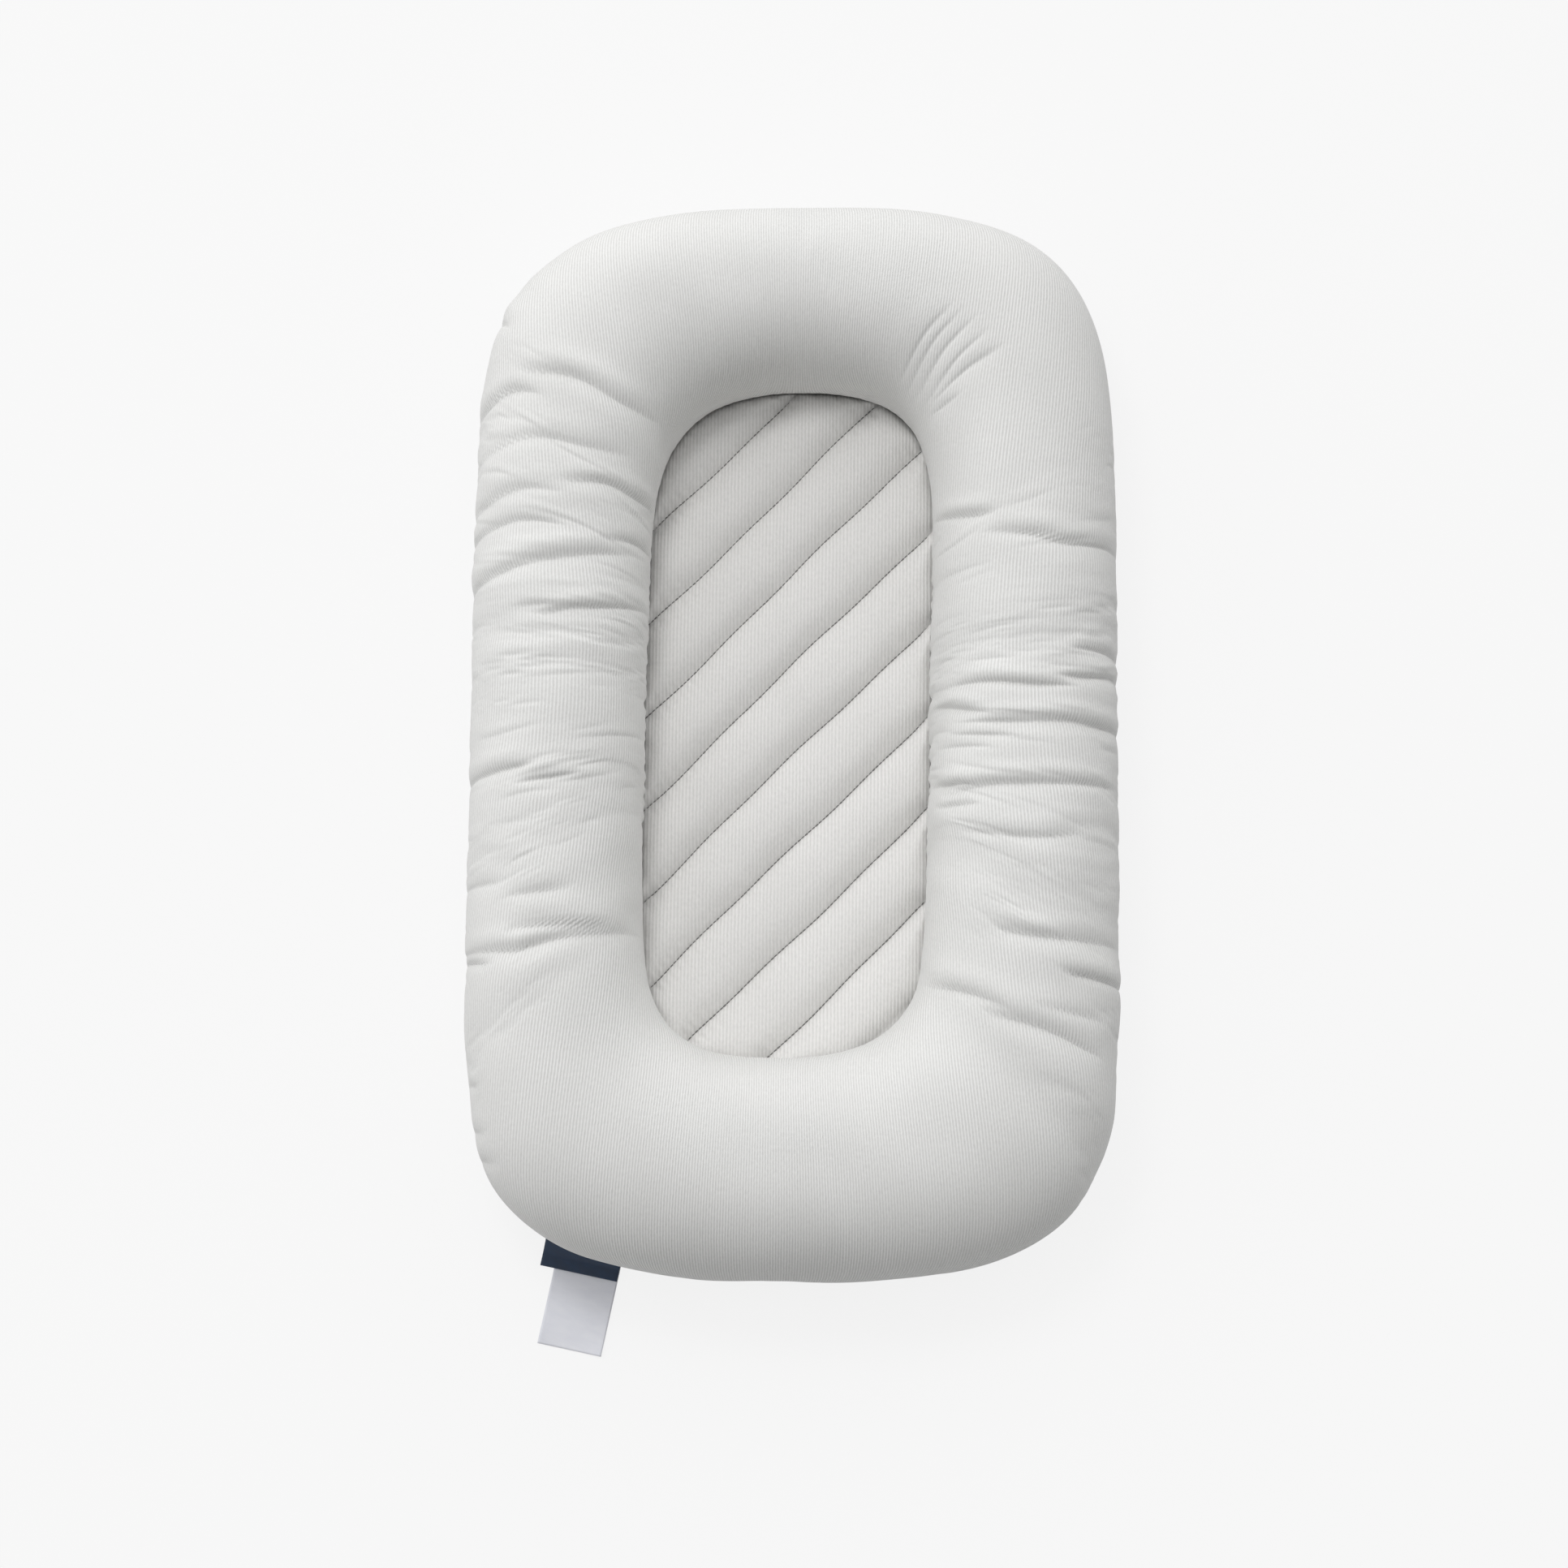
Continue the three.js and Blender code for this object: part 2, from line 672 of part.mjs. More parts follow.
label("care_label", careWidth, careLength, careThickness, labelLift, whiteRibbon);
const navyLift = labelLift + careThickness + clearance;
label("navy_label", navyWidth, navyLength, navyThickness, navyLift, navyRibbon);

export default lounger;
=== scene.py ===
# Looks of an infant lounger: a ribbed ring bolster round a diagonally quilted pad.
# Lengths are in metres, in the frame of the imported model: X across, +Y to the head end, +Z up.
import math

import bmesh
import bpy
import numpy as np
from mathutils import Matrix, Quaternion, Vector


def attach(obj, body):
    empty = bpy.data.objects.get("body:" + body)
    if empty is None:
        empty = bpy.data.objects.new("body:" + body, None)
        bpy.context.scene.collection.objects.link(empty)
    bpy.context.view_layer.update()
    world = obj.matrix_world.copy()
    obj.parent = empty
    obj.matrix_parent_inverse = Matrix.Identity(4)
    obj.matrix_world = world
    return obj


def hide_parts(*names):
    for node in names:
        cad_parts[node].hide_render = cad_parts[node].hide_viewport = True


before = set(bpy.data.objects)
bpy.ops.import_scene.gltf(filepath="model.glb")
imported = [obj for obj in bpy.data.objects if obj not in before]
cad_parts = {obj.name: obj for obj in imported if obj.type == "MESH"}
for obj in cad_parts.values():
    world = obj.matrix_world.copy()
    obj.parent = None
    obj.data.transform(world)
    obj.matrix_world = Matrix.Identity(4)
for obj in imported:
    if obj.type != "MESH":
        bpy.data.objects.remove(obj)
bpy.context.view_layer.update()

UPWARD = np.array([0.0, 0.0, 1.0])
# One seed for each run of random draws
SEEDS = {
    "skin": 7,
    "pad": 8,
    "layers": 9,
    "fibre": 10,
    "underside": 11,
    "facing": 12,
    "tape": 13,
    "label": 15,
}

# Whole lounger, and the bay inside the bolster
LOUNGER_LENGTH = 0.800
LOUNGER_WIDTH = 0.478
LOUNGER_HEIGHT = 0.140
BAY_LENGTH = 0.505
BAY_WIDTH = 0.210
BAY_SHIFT = 0.014
BAY_OFFSET = -0.0048
BAY_LEAN = 0.018
# Squareness of each corner across and along: right head, left head, left foot, right foot
OUTER_OUTLINE = {
    "half_width": LOUNGER_WIDTH / 2,
    "half_length": LOUNGER_LENGTH / 2,
    "shift": 0.0,
    "offset": 0.0,
    "lean": 0.0,
    "corners": ((3.5, 6.3), (2.5, 7.0), (2.5, 8.2), (2.75, 7.8)),
}
BAY_OUTLINE = {
    "half_width": BAY_WIDTH / 2,
    "half_length": BAY_LENGTH / 2,
    "shift": BAY_SHIFT,
    "offset": BAY_OFFSET,
    "lean": BAY_LEAN,
    "corners": ((2.9, 7.5), (2.15, 6.5), (2.8, 6.8), (2.0, 9.5)),
}

# Section of the bolster
EQUATOR_HEIGHT = 0.062
BOTTOM_SETTLE = 0.005
SECTION_SQUARENESS = 2.3
SECTION_HALF_WIDTH = 0.069
CORNER_SPACING = 0.030
SIDE_FACING = (0.30, 0.75)
STATION_TRIALS = 20
ANGLE_TRIALS = 2000
OUTLINE_HALVINGS = 40
FARTHEST_REACH = 2.0
COVER_CLOTH = 0.0012
INNER_SEAM_HEIGHT = 0.027
OUTER_SEAM_HEIGHT = 0.016
BINDING_DROP = 0.0018
SEAM_INSET = -0.0003

# Layers of the insert and of the quilted pad
CASING_INSET = 0.0064
CASING_CLOTH = 0.0006
FIBRE_INSET = 0.0076
PAD_GAP = 0.0016
BASE_PAD_BOTTOM = 0.0017
BASE_PAD_TOP = 0.0133
BACKING_BOTTOM = 0.0138
BACKING_TOP = 0.0144
WADDING_BOTTOM = 0.0150
FACE_CLOTH = 0.0010
STITCH_HEIGHT = 0.0212
CHANNEL_RISE = 0.0150
CHANNEL_FULLNESS = 0.58
PAD_EDGE_LOW = 0.0190
PAD_EDGE_HIGH = 0.0362
PAD_EDGE_WIDTH = 0.024

# Diagonal quilting
QUILT_PITCH = 0.0492
QUILT_SHIFT = -0.005
STITCH_ROWS = 8
MIDDLE_ROW = 5
ROW_SLOPE = math.pi / 4
ACROSS_ROWS = np.array([-math.sin(ROW_SLOPE), math.cos(ROW_SLOPE)])
ALONG_ROWS = np.array([math.cos(ROW_SLOPE), math.sin(ROW_SLOPE)])

# Zip under the foot end
ZIP_PLACE = -0.272
ZIP_HALF_LENGTH = 0.150
SLOT_HALF_LENGTH = 0.156
SLOT_HALF_WIDTH = 0.018
COIL_START = -0.1292
COIL_END = 0.1462
COIL_HEIGHT = 0.0085
SLIDER_X = 0.1399
PULL_HEIGHT = 0.0051

# Labels in the outer seam, near the left foot corner
LABEL_TILT = math.radians(-11.8)
LABEL_PLACE = np.array([-0.1456, -0.3668])
LABEL_CLOTH = 0.0003
LABELS = {
    "care_ribbon": {
        "width": 0.048,
        "length": 0.084,
        "shift": 0.0,
        "plies": 1,
        "lift": 0.00055,
        "ripple": 0.0008,
    },
    "navy_tab": {
        "width": 0.058,
        "length": 0.0275,
        "shift": 0.0055,
        "plies": 2,
        "lift": 0.0019,
        "ripple": 0.0,
    },
}

# Sheets as they were cut: width, length and area. The lining is a flat ring as wide as half
# the bolster's section is long, and the underside follows the outer seam with its rim laid flat.
LINING_TOP_CUT = (0.575, 0.882, 0.409)
LINING_BOTTOM_CUT = (0.557, 0.864, 0.376)
UNDERSIDE_HEAD_CUT = (0.459, 0.663, 0.281)
UNDERSIDE_FOOT_CUT = (0.428, 0.109, 0.0322)

# Folds of the bolster's skin: depth, width and the points that each passes through in plan.
# The outermost points lie past the outline where a fold runs over the edge.
LEFT_FOLDS = [
    (0.0020, 0.007, [(-0.250, 0.228), (-0.214, 0.245), (-0.186, 0.242)]),
    (0.0034, 0.009, [
        (-0.205, 0.259), (-0.176, 0.257), (-0.154, 0.250),
        (-0.131, 0.237), (-0.098, 0.225),
    ]),
    (0.0016, 0.010, [(-0.250, 0.190), (-0.198, 0.209), (-0.154, 0.202), (-0.120, 0.198)]),
    (0.0014, 0.008, [(-0.250, 0.153), (-0.206, 0.170), (-0.170, 0.168)]),
    (0.0030, 0.006, [(-0.172, 0.175), (-0.139, 0.176), (-0.118, 0.170), (-0.104, 0.165)]),
    (0.0018, 0.008, [(-0.250, 0.136), (-0.206, 0.147), (-0.166, 0.143)]),
    (0.0014, 0.007, [(-0.145, 0.134), (-0.116, 0.135), (-0.102, 0.130)]),
    (0.0034, 0.009, [(-0.250, 0.098), (-0.205, 0.113), (-0.171, 0.119), (-0.116, 0.126)]),
    (0.0009, 0.006, [(-0.205, 0.082), (-0.172, 0.085)]),
    (0.0028, 0.006, [(-0.188, 0.075), (-0.163, 0.081), (-0.140, 0.083), (-0.104, 0.089)]),
    (0.0022, 0.008, [(-0.252, -0.043), (-0.212, -0.037), (-0.188, -0.034)]),
    (0.0018, 0.007, [(-0.199, -0.047), (-0.179, -0.044), (-0.157, -0.041)]),
    (0.0012, 0.009, [(-0.209, -0.129), (-0.184, -0.126), (-0.159, -0.124)]),
    (0.0010, 0.008, [(-0.250, -0.119), (-0.208, -0.119)]),
    (0.0024, 0.011, [(-0.207, -0.153), (-0.169, -0.149), (-0.132, -0.149)]),
    (0.0036, 0.008, [
        (-0.252, -0.166), (-0.202, -0.168), (-0.187, -0.165),
        (-0.161, -0.158), (-0.108, -0.151),
    ]),
    (0.0016, 0.006, [(-0.252, -0.170), (-0.216, -0.178)]),
    (0.0010, 0.006, [(-0.250, -0.258), (-0.225, -0.265)]),
    (0.0010, 0.007, [(-0.246, -0.288), (-0.219, -0.300)]),
    (0.0008, 0.008, [(-0.238, -0.311), (-0.209, -0.321)]),
    (0.0022, 0.009, [(-0.238, 0.331), (-0.212, 0.296)]),
]
RIGHT_FOLDS = [
    (0.0010, 0.010, [(0.076, 0.258), (0.094, 0.289), (0.114, 0.309)]),
    (0.0009, 0.008, [(0.082, 0.252), (0.100, 0.283), (0.120, 0.304)]),
    (0.0012, 0.009, [(0.089, 0.246), (0.107, 0.276), (0.129, 0.298)]),
    (0.0009, 0.007, [(0.095, 0.240), (0.116, 0.269), (0.139, 0.289)]),
    (0.0012, 0.008, [(0.100, 0.242), (0.125, 0.263), (0.150, 0.277)]),
    (0.0010, 0.008, [(0.099, 0.234), (0.119, 0.244)]),
    (0.0028, 0.006, [(0.102, 0.159), (0.122, 0.155), (0.145, 0.154)]),
    (0.0022, 0.008, [(0.135, 0.142), (0.174, 0.138), (0.202, 0.132), (0.252, 0.136)]),
    (0.0018, 0.007, [(0.200, 0.055), (0.252, 0.057)]),
    (0.0030, 0.006, [(0.192, 0.034), (0.216, 0.035), (0.252, 0.044)]),
    (0.0022, 0.006, [(0.114, 0.029), (0.140, 0.030), (0.173, 0.027), (0.203, 0.027)]),
    (0.0028, 0.006, [(0.101, 0.018), (0.118, 0.012), (0.138, 0.007)]),
    (0.0034, 0.007, [
        (0.117, 0.001), (0.157, 0.000), (0.199, 0.001),
        (0.221, -0.001), (0.252, 0.000),
    ]),
    (0.0012, 0.007, [(0.114, -0.007), (0.136, -0.009), (0.161, -0.010)]),
    (0.0010, 0.008, [(0.104, -0.015), (0.143, -0.018)]),
    (0.0026, 0.006, [(0.101, -0.042), (0.115, -0.043), (0.128, -0.043)]),
    (0.0034, 0.007, [(0.107, -0.051), (0.133, -0.046), (0.172, -0.045), (0.236, -0.044)]),
    (0.0018, 0.009, [(0.104, -0.059), (0.133, -0.058)]),
    (0.0016, 0.009, [(0.116, -0.078), (0.172, -0.084), (0.211, -0.079)]),
    (0.0032, 0.008, [(0.142, -0.150), (0.171, -0.155), (0.240, -0.160)]),
    (0.0020, 0.007, [(0.192, -0.181), (0.213, -0.184), (0.250, -0.190)]),
    (0.0022, 0.009, [(0.095, -0.188), (0.122, -0.195), (0.156, -0.207)]),
    (0.0034, 0.011, [(0.132, -0.209), (0.179, -0.222), (0.222, -0.241)]),
    (0.0010, 0.008, [(0.167, -0.204), (0.226, -0.215)]),
]
# Stretches of the two sides that carry small loose wrinkles, as (side, from, to, how many)
WRINKLED_STRETCHES = [
    (-1, -0.105, -0.020, 14),
    (-1, -0.020, 0.030, 6),
    (-1, 0.030, 0.225, 40),
    (1, -0.105, 0.070, 36),
    (1, 0.070, 0.190, 14),
]
FOLD_STRENGTH = 1.7
WRINKLE_STRENGTH = 0.8
SMALL_FOLD_SHARE = 0.65
FOLD_DEEPEST = 0.0040
SKIN_DEPTH_EASY = 0.0040
SKIN_DEPTH_SPARE = 0.0012
INNER_TUCK = 0.0034
FOLD_HEADWARD_WIDTH = 0.34
FOLD_FOOTWARD_WIDTH = 0.70
FOLD_CUSP = 0.0003
FOLD_FLANK_POWER = 1.1
FOLD_END_POWER = 0.8
FOLD_FARTHEST_WIDTHS = 4
FOLD_HEADWARDS = np.array([-0.35, 0.94])
FOLD_GROOVE_SHARE = 0.52
FOLD_GROOVE_DEEPEST = 0.0018
FOLD_GROOVE_WIDTH = 0.0011
FOLD_SWELL_SHARE = 0.34
FOLD_SWELL_PLACE = 1.25
FOLD_SWELL_WIDTH = 0.8
CURVE_SAMPLES = 49


# Small sums

def smooth_step(value, low, high):
    share = np.clip((value - low) / (high - low), 0, 1)
    return share * share * (3 - 2 * share)


WAVE_SPREAD = (0.7, 1.4)


def soft_noise(points, rng, wavelength, terms=14):
    """Smooth random values, mostly from -1 to 1: a few crossing waves added up."""
    total = np.zeros(points.shape[:-1])
    for _ in range(terms):
        direction = rng.normal(size=points.shape[-1])
        direction /= np.linalg.norm(direction)
        length = wavelength * rng.uniform(*WAVE_SPREAD)
        total += np.sin(points @ direction * 2 * math.pi / length + rng.uniform(0, 2 * math.pi))
    return total / math.sqrt(2 * terms)


def smooth_curve(points, samples):
    """Points at even steps of a smooth curve that passes through the given ones."""
    points = np.array(points, float)
    before = 2 * points[0] - points[1]
    after = 2 * points[-1] - points[-2]
    ends = np.vstack([before, points, after])
    place = np.linspace(0, len(points) - 1, samples)
    span = np.minimum(place.astype(int), len(points) - 2)
    t = (place - span)[:, None]
    a, b, c, d = (ends[span + i] for i in range(4))
    return (
        b
        + 0.5 * t * (c - a)
        + t**2 * (a - 2.5 * b + 2 * c - 0.5 * d)
        + t**3 * (1.5 * (b - c) + 0.5 * (d - a))
    )


# Outline, stations and section of the bolster

def outline_points(outline, directions):
    """Points of a rounded rectangle whose corners differ in squareness, one a direction."""
    across, along = np.cos(directions), np.sin(directions)
    corner = np.where(along >= 0, np.where(across >= 0, 0, 1), np.where(across < 0, 2, 3))
    power_across, power_along = np.array(outline["corners"])[corner].T
    inside = np.zeros_like(directions)
    outside = np.full_like(directions, FARTHEST_REACH)
    for _ in range(OUTLINE_HALVINGS):
        reach = (inside + outside) / 2
        total = np.abs(across * reach) ** power_across + np.abs(along * reach) ** power_along
        inside = np.where(total < 1, reach, inside)
        outside = np.where(total < 1, outside, reach)
    y = outline["half_length"] * along * inside
    x = outline["half_width"] * across * inside + outline["offset"] + outline["lean"] * y
    return np.stack([x, outline["shift"] + y], axis=1)


def stations_at(directions):
    """Upright cuts through the bolster, from the bay outwards."""
    inner = outline_points(BAY_OUTLINE, directions)
    outer = outline_points(OUTER_OUTLINE, directions)
    width = np.linalg.norm(outer - inner, axis=1)
    return {
        "inner": inner,
        "middle": (inner + outer) / 2,
        "half_width": width / 2,
        "outward": (outer - inner) / width[:, None],
    }


def even_stations(count, side_density=1.0):
    """Stations spaced evenly along the bolster, a little closer together in its corners and
    closer by the given factor along its two sides."""
    directions = np.linspace(0, 2 * math.pi, STATION_TRIALS * count + 1)
    fine = stations_at(directions)
    run = np.linalg.norm(np.diff(fine["middle"], axis=0), axis=1)
    bend = np.linalg.norm(np.diff(fine["outward"], axis=0), axis=1)
    sideness = smooth_step(np.abs(fine["outward"][:-1, 0]), *SIDE_FACING)
    density = 1 + (side_density - 1) * sideness
    lengths = np.concatenate([[0], np.cumsum(run * density + CORNER_SPACING * bend)])
    wanted = lengths[-1] * np.arange(count) / count
    stations = stations_at(np.interp(wanted, lengths, directions))
    steps = np.linalg.norm(np.diff(stations["middle"], axis=0), axis=1)
    stations["run"] = np.concatenate([[0], np.cumsum(steps)])
    return stations


def section(angles, half_width, inset):
    """Distance outwards from the middle, and height: angle 0 faces out and 90 degrees up."""
    power = 2 / SECTION_SQUARENESS
    cosine, sine = np.cos(angles), np.sin(angles)
    across = np.sign(cosine) * np.abs(cosine) ** power * (half_width - inset)
    rise = np.sign(sine) * np.abs(sine) ** power
    reach = np.where(rise > 0, LOUNGER_HEIGHT - EQUATOR_HEIGHT, EQUATOR_HEIGHT + BOTTOM_SETTLE)
    return across, np.maximum(EQUATOR_HEIGHT + rise * (reach - inset), inset)


def angle_at_height(height):
    """The section's angle under the equator, on the outer side, at this height."""
    share = (EQUATOR_HEIGHT - height) / (EQUATOR_HEIGHT + BOTTOM_SETTLE)
    return -math.asin(share ** (SECTION_SQUARENESS / 2))


OUTER_SEAM_ANGLE = angle_at_height(OUTER_SEAM_HEIGHT)
INNER_SEAM_ANGLE = math.pi - angle_at_height(INNER_SEAM_HEIGHT)
OUTER_BINDING_ANGLE = angle_at_height(OUTER_SEAM_HEIGHT - BINDING_DROP)
INNER_BINDING_ANGLE = math.pi - angle_at_height(INNER_SEAM_HEIGHT - BINDING_DROP)


def even_angles(start, end, count):
    """Angles that divide the section evenly along its line."""
    fine = np.linspace(start, end, ANGLE_TRIALS)
    across, height = section(fine, SECTION_HALF_WIDTH, 0)
    steps = np.hypot(np.diff(across), np.diff(height))
    lengths = np.concatenate([[0], np.cumsum(steps)])
    return np.interp(np.linspace(0, lengths[-1], count), lengths, fine)


def ring_points(stations, angles, inset):
    """Rows of points round the bolster, one row an angle and one column a station."""
    inset = np.broadcast_to(np.reshape(inset, (-1, 1)), (len(angles), 1))
    across, height = section(angles[:, None], stations["half_width"][None, :], inset)
    height = np.broadcast_to(height, across.shape)
    plan = stations["middle"] + stations["outward"] * across[..., None]
    return np.concatenate([plan, height[..., None]], axis=2)


def ring_normals(points):
    along = np.roll(points, -1, axis=1) - np.roll(points, 1, axis=1)
    normals = np.cross(along, np.gradient(points, axis=0))
    return normals / np.linalg.norm(normals, axis=2, keepdims=True)


def down_the_section(points):
    """Distance along each column from its last row, measured on the surface."""
    steps = np.linalg.norm(np.diff(points, axis=0), axis=2)
    from_end = np.cumsum(steps[::-1], axis=0)[::-1]
    return np.vstack([from_end, np.zeros((1, points.shape[1]))])


# Meshes

def grid_faces(rows, columns, closed_columns=False, first=0):
    """Quads of a grid of points, joined round where its columns close."""
    across = np.arange(columns if closed_columns else columns - 1)
    a = np.arange(rows - 1)[:, None] * columns + across
    b = np.arange(rows - 1)[:, None] * columns + (across + 1) % columns
    return (np.stack([a, b, b + columns, a + columns], axis=2).reshape(-1, 4) + first).tolist()


def closed_tube_faces(rows, columns):
    """Quads of a grid that closes in both directions."""
    faces = grid_faces(rows, columns, closed_columns=True)
    last = (rows - 1) * columns
    ahead = [(i + 1) % columns for i in range(columns)]
    return faces + [(last + i, last + ahead[i], ahead[i], i) for i in range(columns)]


def link_object(name, data):
    holder = bpy.data.objects.new(name, data)
    bpy.context.scene.collection.objects.link(holder)
    return holder


def read_places(mesh):
    """The places of a mesh's points, one row a point."""
    places = np.zeros(len(mesh.vertices) * 3)
    mesh.vertices.foreach_get("co", places)
    return places.reshape(-1, 3)


def add_mesh(name, points, faces, smooth=True, recalculate=False):
    mesh = bpy.data.meshes.new(name)
    mesh.from_pydata(np.asarray(points, float).reshape(-1, 3).tolist(), [], faces)
    if recalculate:
        editable = bmesh.new()
        editable.from_mesh(mesh)
        bmesh.ops.recalc_face_normals(editable, faces=editable.faces)
        editable.to_mesh(mesh)
        editable.free()
    mesh.polygons.foreach_set("use_smooth", [smooth] * len(mesh.polygons))
    mesh.update()
    return link_object(name, mesh)


def turn_sheet(piece, side):
    """Turns a sheet's faces so that most of them face up for a side of 1, or down for -1."""
    mesh = piece.data
    normals = np.zeros(len(mesh.polygons) * 3)
    mesh.polygons.foreach_get("normal", normals)
    if side * normals.reshape(-1, 3)[:, 2].mean() < 0:
        mesh.flip_normals()


def set_cloth_directions(piece, across_ribs, along_ribs):
    """Keeps each point's place on the flat cloth, across its ribs and along them."""
    for name, values in (("across_ribs", across_ribs), ("along_ribs", along_ribs)):
        attribute = piece.data.attributes.new(name, "FLOAT", "POINT")
        attribute.data.foreach_set("value", np.asarray(values, np.float32).ravel())


def add_thickness(piece, thickness, offset=-1.0):
    solidify = piece.modifiers.new("thickness", "SOLIDIFY")
    solidify.thickness = thickness
    solidify.offset = offset
    solidify.use_quality_normals = True


def finish_piece(piece, material, nodes=(), body="cover_and_insert"):
    piece.data.materials.append(material)
    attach(piece, body)
    if nodes:
        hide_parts(*nodes)
    return piece


# Materials

def add_node(tree, kind, inputs=None, **settings):
    """A shader node, with settings and with its inputs set or linked."""
    node = tree.nodes.new(kind)
    for name, value in settings.items():
        setattr(node, name, value)
    for name, value in (inputs or {}).items():
        if isinstance(value, bpy.types.NodeSocket):
            tree.links.new(value, node.inputs[name])
        else:
            node.inputs[name].default_value = value
    return node


def calculate(tree, operation, *values):
    return add_node(tree, "ShaderNodeMath", dict(enumerate(values)), operation=operation).outputs[0]


# Patterns in the materials: stretch in each direction, waves in a metre, and fineness
EVEN = (1.0, 1.0, 1.0)
PATTERNS = {
    "rib_wander": (EVEN, 45.0, 2.0),
    "rib_strength": ((1.0, 0.5, 1.0), 22.0, 2.0),
    "yarn": ((1.0, 0.55, 1.0), 620.0, 4.0),
    "patches": (EVEN, 14.0, 4.0),
    "lint": (EVEN, 900.0, 3.0),
    "uneven_weave": (EVEN, 25.0, 3.0),
    "fibre_clumps": (EVEN, 120.0, 5.0),
    "fibre_strands": ((1.0, 3.0, 1.0), 700.0, 6.0),
    "tape_grain": (EVEN, 1600.0, 2.0),
    "nylon_streaks": (EVEN, 700.0, 2.0),
    "scratches": ((0.08, 1.0, 1.0), 2600.0, 3.0),
    "wear": (EVEN, 260.0, 4.0),
    "ribbon_shades": ((1.0, 2.5, 1.0), 70.0, 4.0),
    "floor_tone": (EVEN, 0.6, 1.0),
}


def scaled(tree, vector, scale):
    inputs = {"Vector": vector, "Scale": scale}
    return add_node(tree, "ShaderNodeMapping", inputs).outputs["Vector"]


def pattern(tree, vector, name):
    """Cloudy values of one pattern of the table at these places."""
    stretch, scale, detail = PATTERNS[name]
    if stretch != EVEN:
        vector = scaled(tree, vector, stretch)
    inputs = {"Vector": vector, "Scale": scale, "Detail": detail}
    return add_node(tree, "ShaderNodeTexNoise", inputs).outputs["Fac"]


def in_range(tree, value, low, high, source=(0.0, 1.0)):
    inputs = {
        "Value": value,
        "From Min": source[0],
        "From Max": source[1],
        "To Min": low,
        "To Max": high,
    }
    return add_node(tree, "ShaderNodeMapRange", inputs).outputs["Result"]


def mix_colours(tree, share, first, second, blend="MIX"):
    node = add_node(tree, "ShaderNodeMix", data_type="RGBA", blend_type=blend)
    for name, value in (("Factor_Float", share), ("A_Color", first), ("B_Color", second)):
        socket = next(s for s in node.inputs if s.identifier == name)
        if isinstance(value, bpy.types.NodeSocket):
            tree.links.new(value, socket)
        else:
            socket.default_value = value
    return next(s for s in node.outputs if s.identifier == "Result_Color")


def linear(red, green, blue):
    """A colour given from 0 to 255 as seen on a screen."""
    return tuple(
        v / 12.92 if v <= 0.04045 else ((v + 0.055) / 1.055) ** 2.4
        for v in (red / 255, green / 255, blue / 255)
    ) + (1.0,)


# Light and dark tone of each material, from 0 to 255 as on a screen. In the ribbed cloths the dark
# tone is painted shade in the grooves between the ribs.
TONES = {
    "rib_cloth": ((250, 250, 249), (220, 220, 218)),
    "quilt_cloth": ((250, 249, 248), (226, 225, 223)),
    "lining_cloth": ((243, 242, 238), (230, 229, 224)),
    "white_fibre": ((250, 250, 247), (228, 228, 224)),
    # The quilting thread's grey is partly its own tone and partly painted shade of the valleys it
    # lies in.
    "seam_thread": ((152, 151, 149), (110, 109, 108)),
    # The inner seam cord's grey is painted shade of the gap between the bolster and the pad.
    "seam_tape_painted_shade": ((150, 149, 147), (112, 111, 109)),
    "pale_thread": ((226, 225, 222), (190, 189, 186)),
    "zip_tape": ((222, 222, 221), (190, 190, 189)),
    "zip_nylon": ((216, 216, 215), (196, 196, 195)),
    "zip_metal": ((200, 202, 204), (160, 162, 165)),
    "navy_ribbon": ((22, 52, 84), (5, 18, 36)),
    "white_ribbon": ((248, 249, 254), (228, 230, 240)),
}
# Least and greatest roughness, and height of the relief, of each kind of surface
SURFACES = {
    "knit": (0.86, 0.98, 0.00034),
    "plain_weave": (0.85, 0.98, 0.00012),
    "fibre": (0.88, 1.0, 0.001),
    "thread": (0.7, 0.85, 0.0001),
    "tape": (0.75, 0.92, 0.00012),
    "nylon": (0.32, 0.48, 0.00004),
    "metal": (0.25, 0.48, 0.00003),
    "ribbon": (0.42, 0.62, 0.00006),
}
# Sheen of the materials that have one
SHEENS = {
    "rib_cloth": 0.12,
    "quilt_cloth": 0.12,
    "white_fibre": 0.3,
    "navy_ribbon": 0.06,
    "white_ribbon": 0.1,
}
KNIT_SHEEN_ROUGHNESS = 0.45
CLOTH_SHINE = 0.25


def new_material(name):
    material = bpy.data.materials.new(name)
    material.use_nodes = True
    tree = material.node_tree
    shader = tree.nodes["Principled BSDF"]
    if name in SHEENS:
        shader.inputs["Sheen Weight"].default_value = SHEENS[name]
    return material, tree, shader


def object_places(tree):
    return add_node(tree, "ShaderNodeTexCoord").outputs["Object"]


def tones_between(tree, name, share):
    """The material's colour, from dark to light. In the ribbed cloths the dark end is painted shade
    between the ribs.
    """
    light, dark = (linear(*tone) for tone in TONES[name])
    return mix_colours(tree, share, dark, light)


def set_surface(tree, shader, kind, colour, grain, relief):
    """Links the colour, the roughness that follows a grain, and the relief."""
    low, high, height = SURFACES[kind]
    tree.links.new(colour, shader.inputs["Base Color"])
    tree.links.new(in_range(tree, grain, low, high), shader.inputs["Roughness"])
    bump = add_node(tree, "ShaderNodeBump", {"Height": relief, "Distance": height})
    tree.links.new(bump.outputs["Normal"], shader.inputs["Normal"])


def added(tree, first, first_share, second, second_share):
    """Two patterns added up in these shares."""
    part = calculate(tree, "MULTIPLY", second, second_share)
    return calculate(tree, "MULTIPLY_ADD", first, first_share, part)


def sine_lines(tree, place, spacing):
    """Waves from -1 to 1, one in each spacing."""
    return calculate(tree, "SINE", calculate(tree, "MULTIPLY", place, 2 * math.pi / spacing))


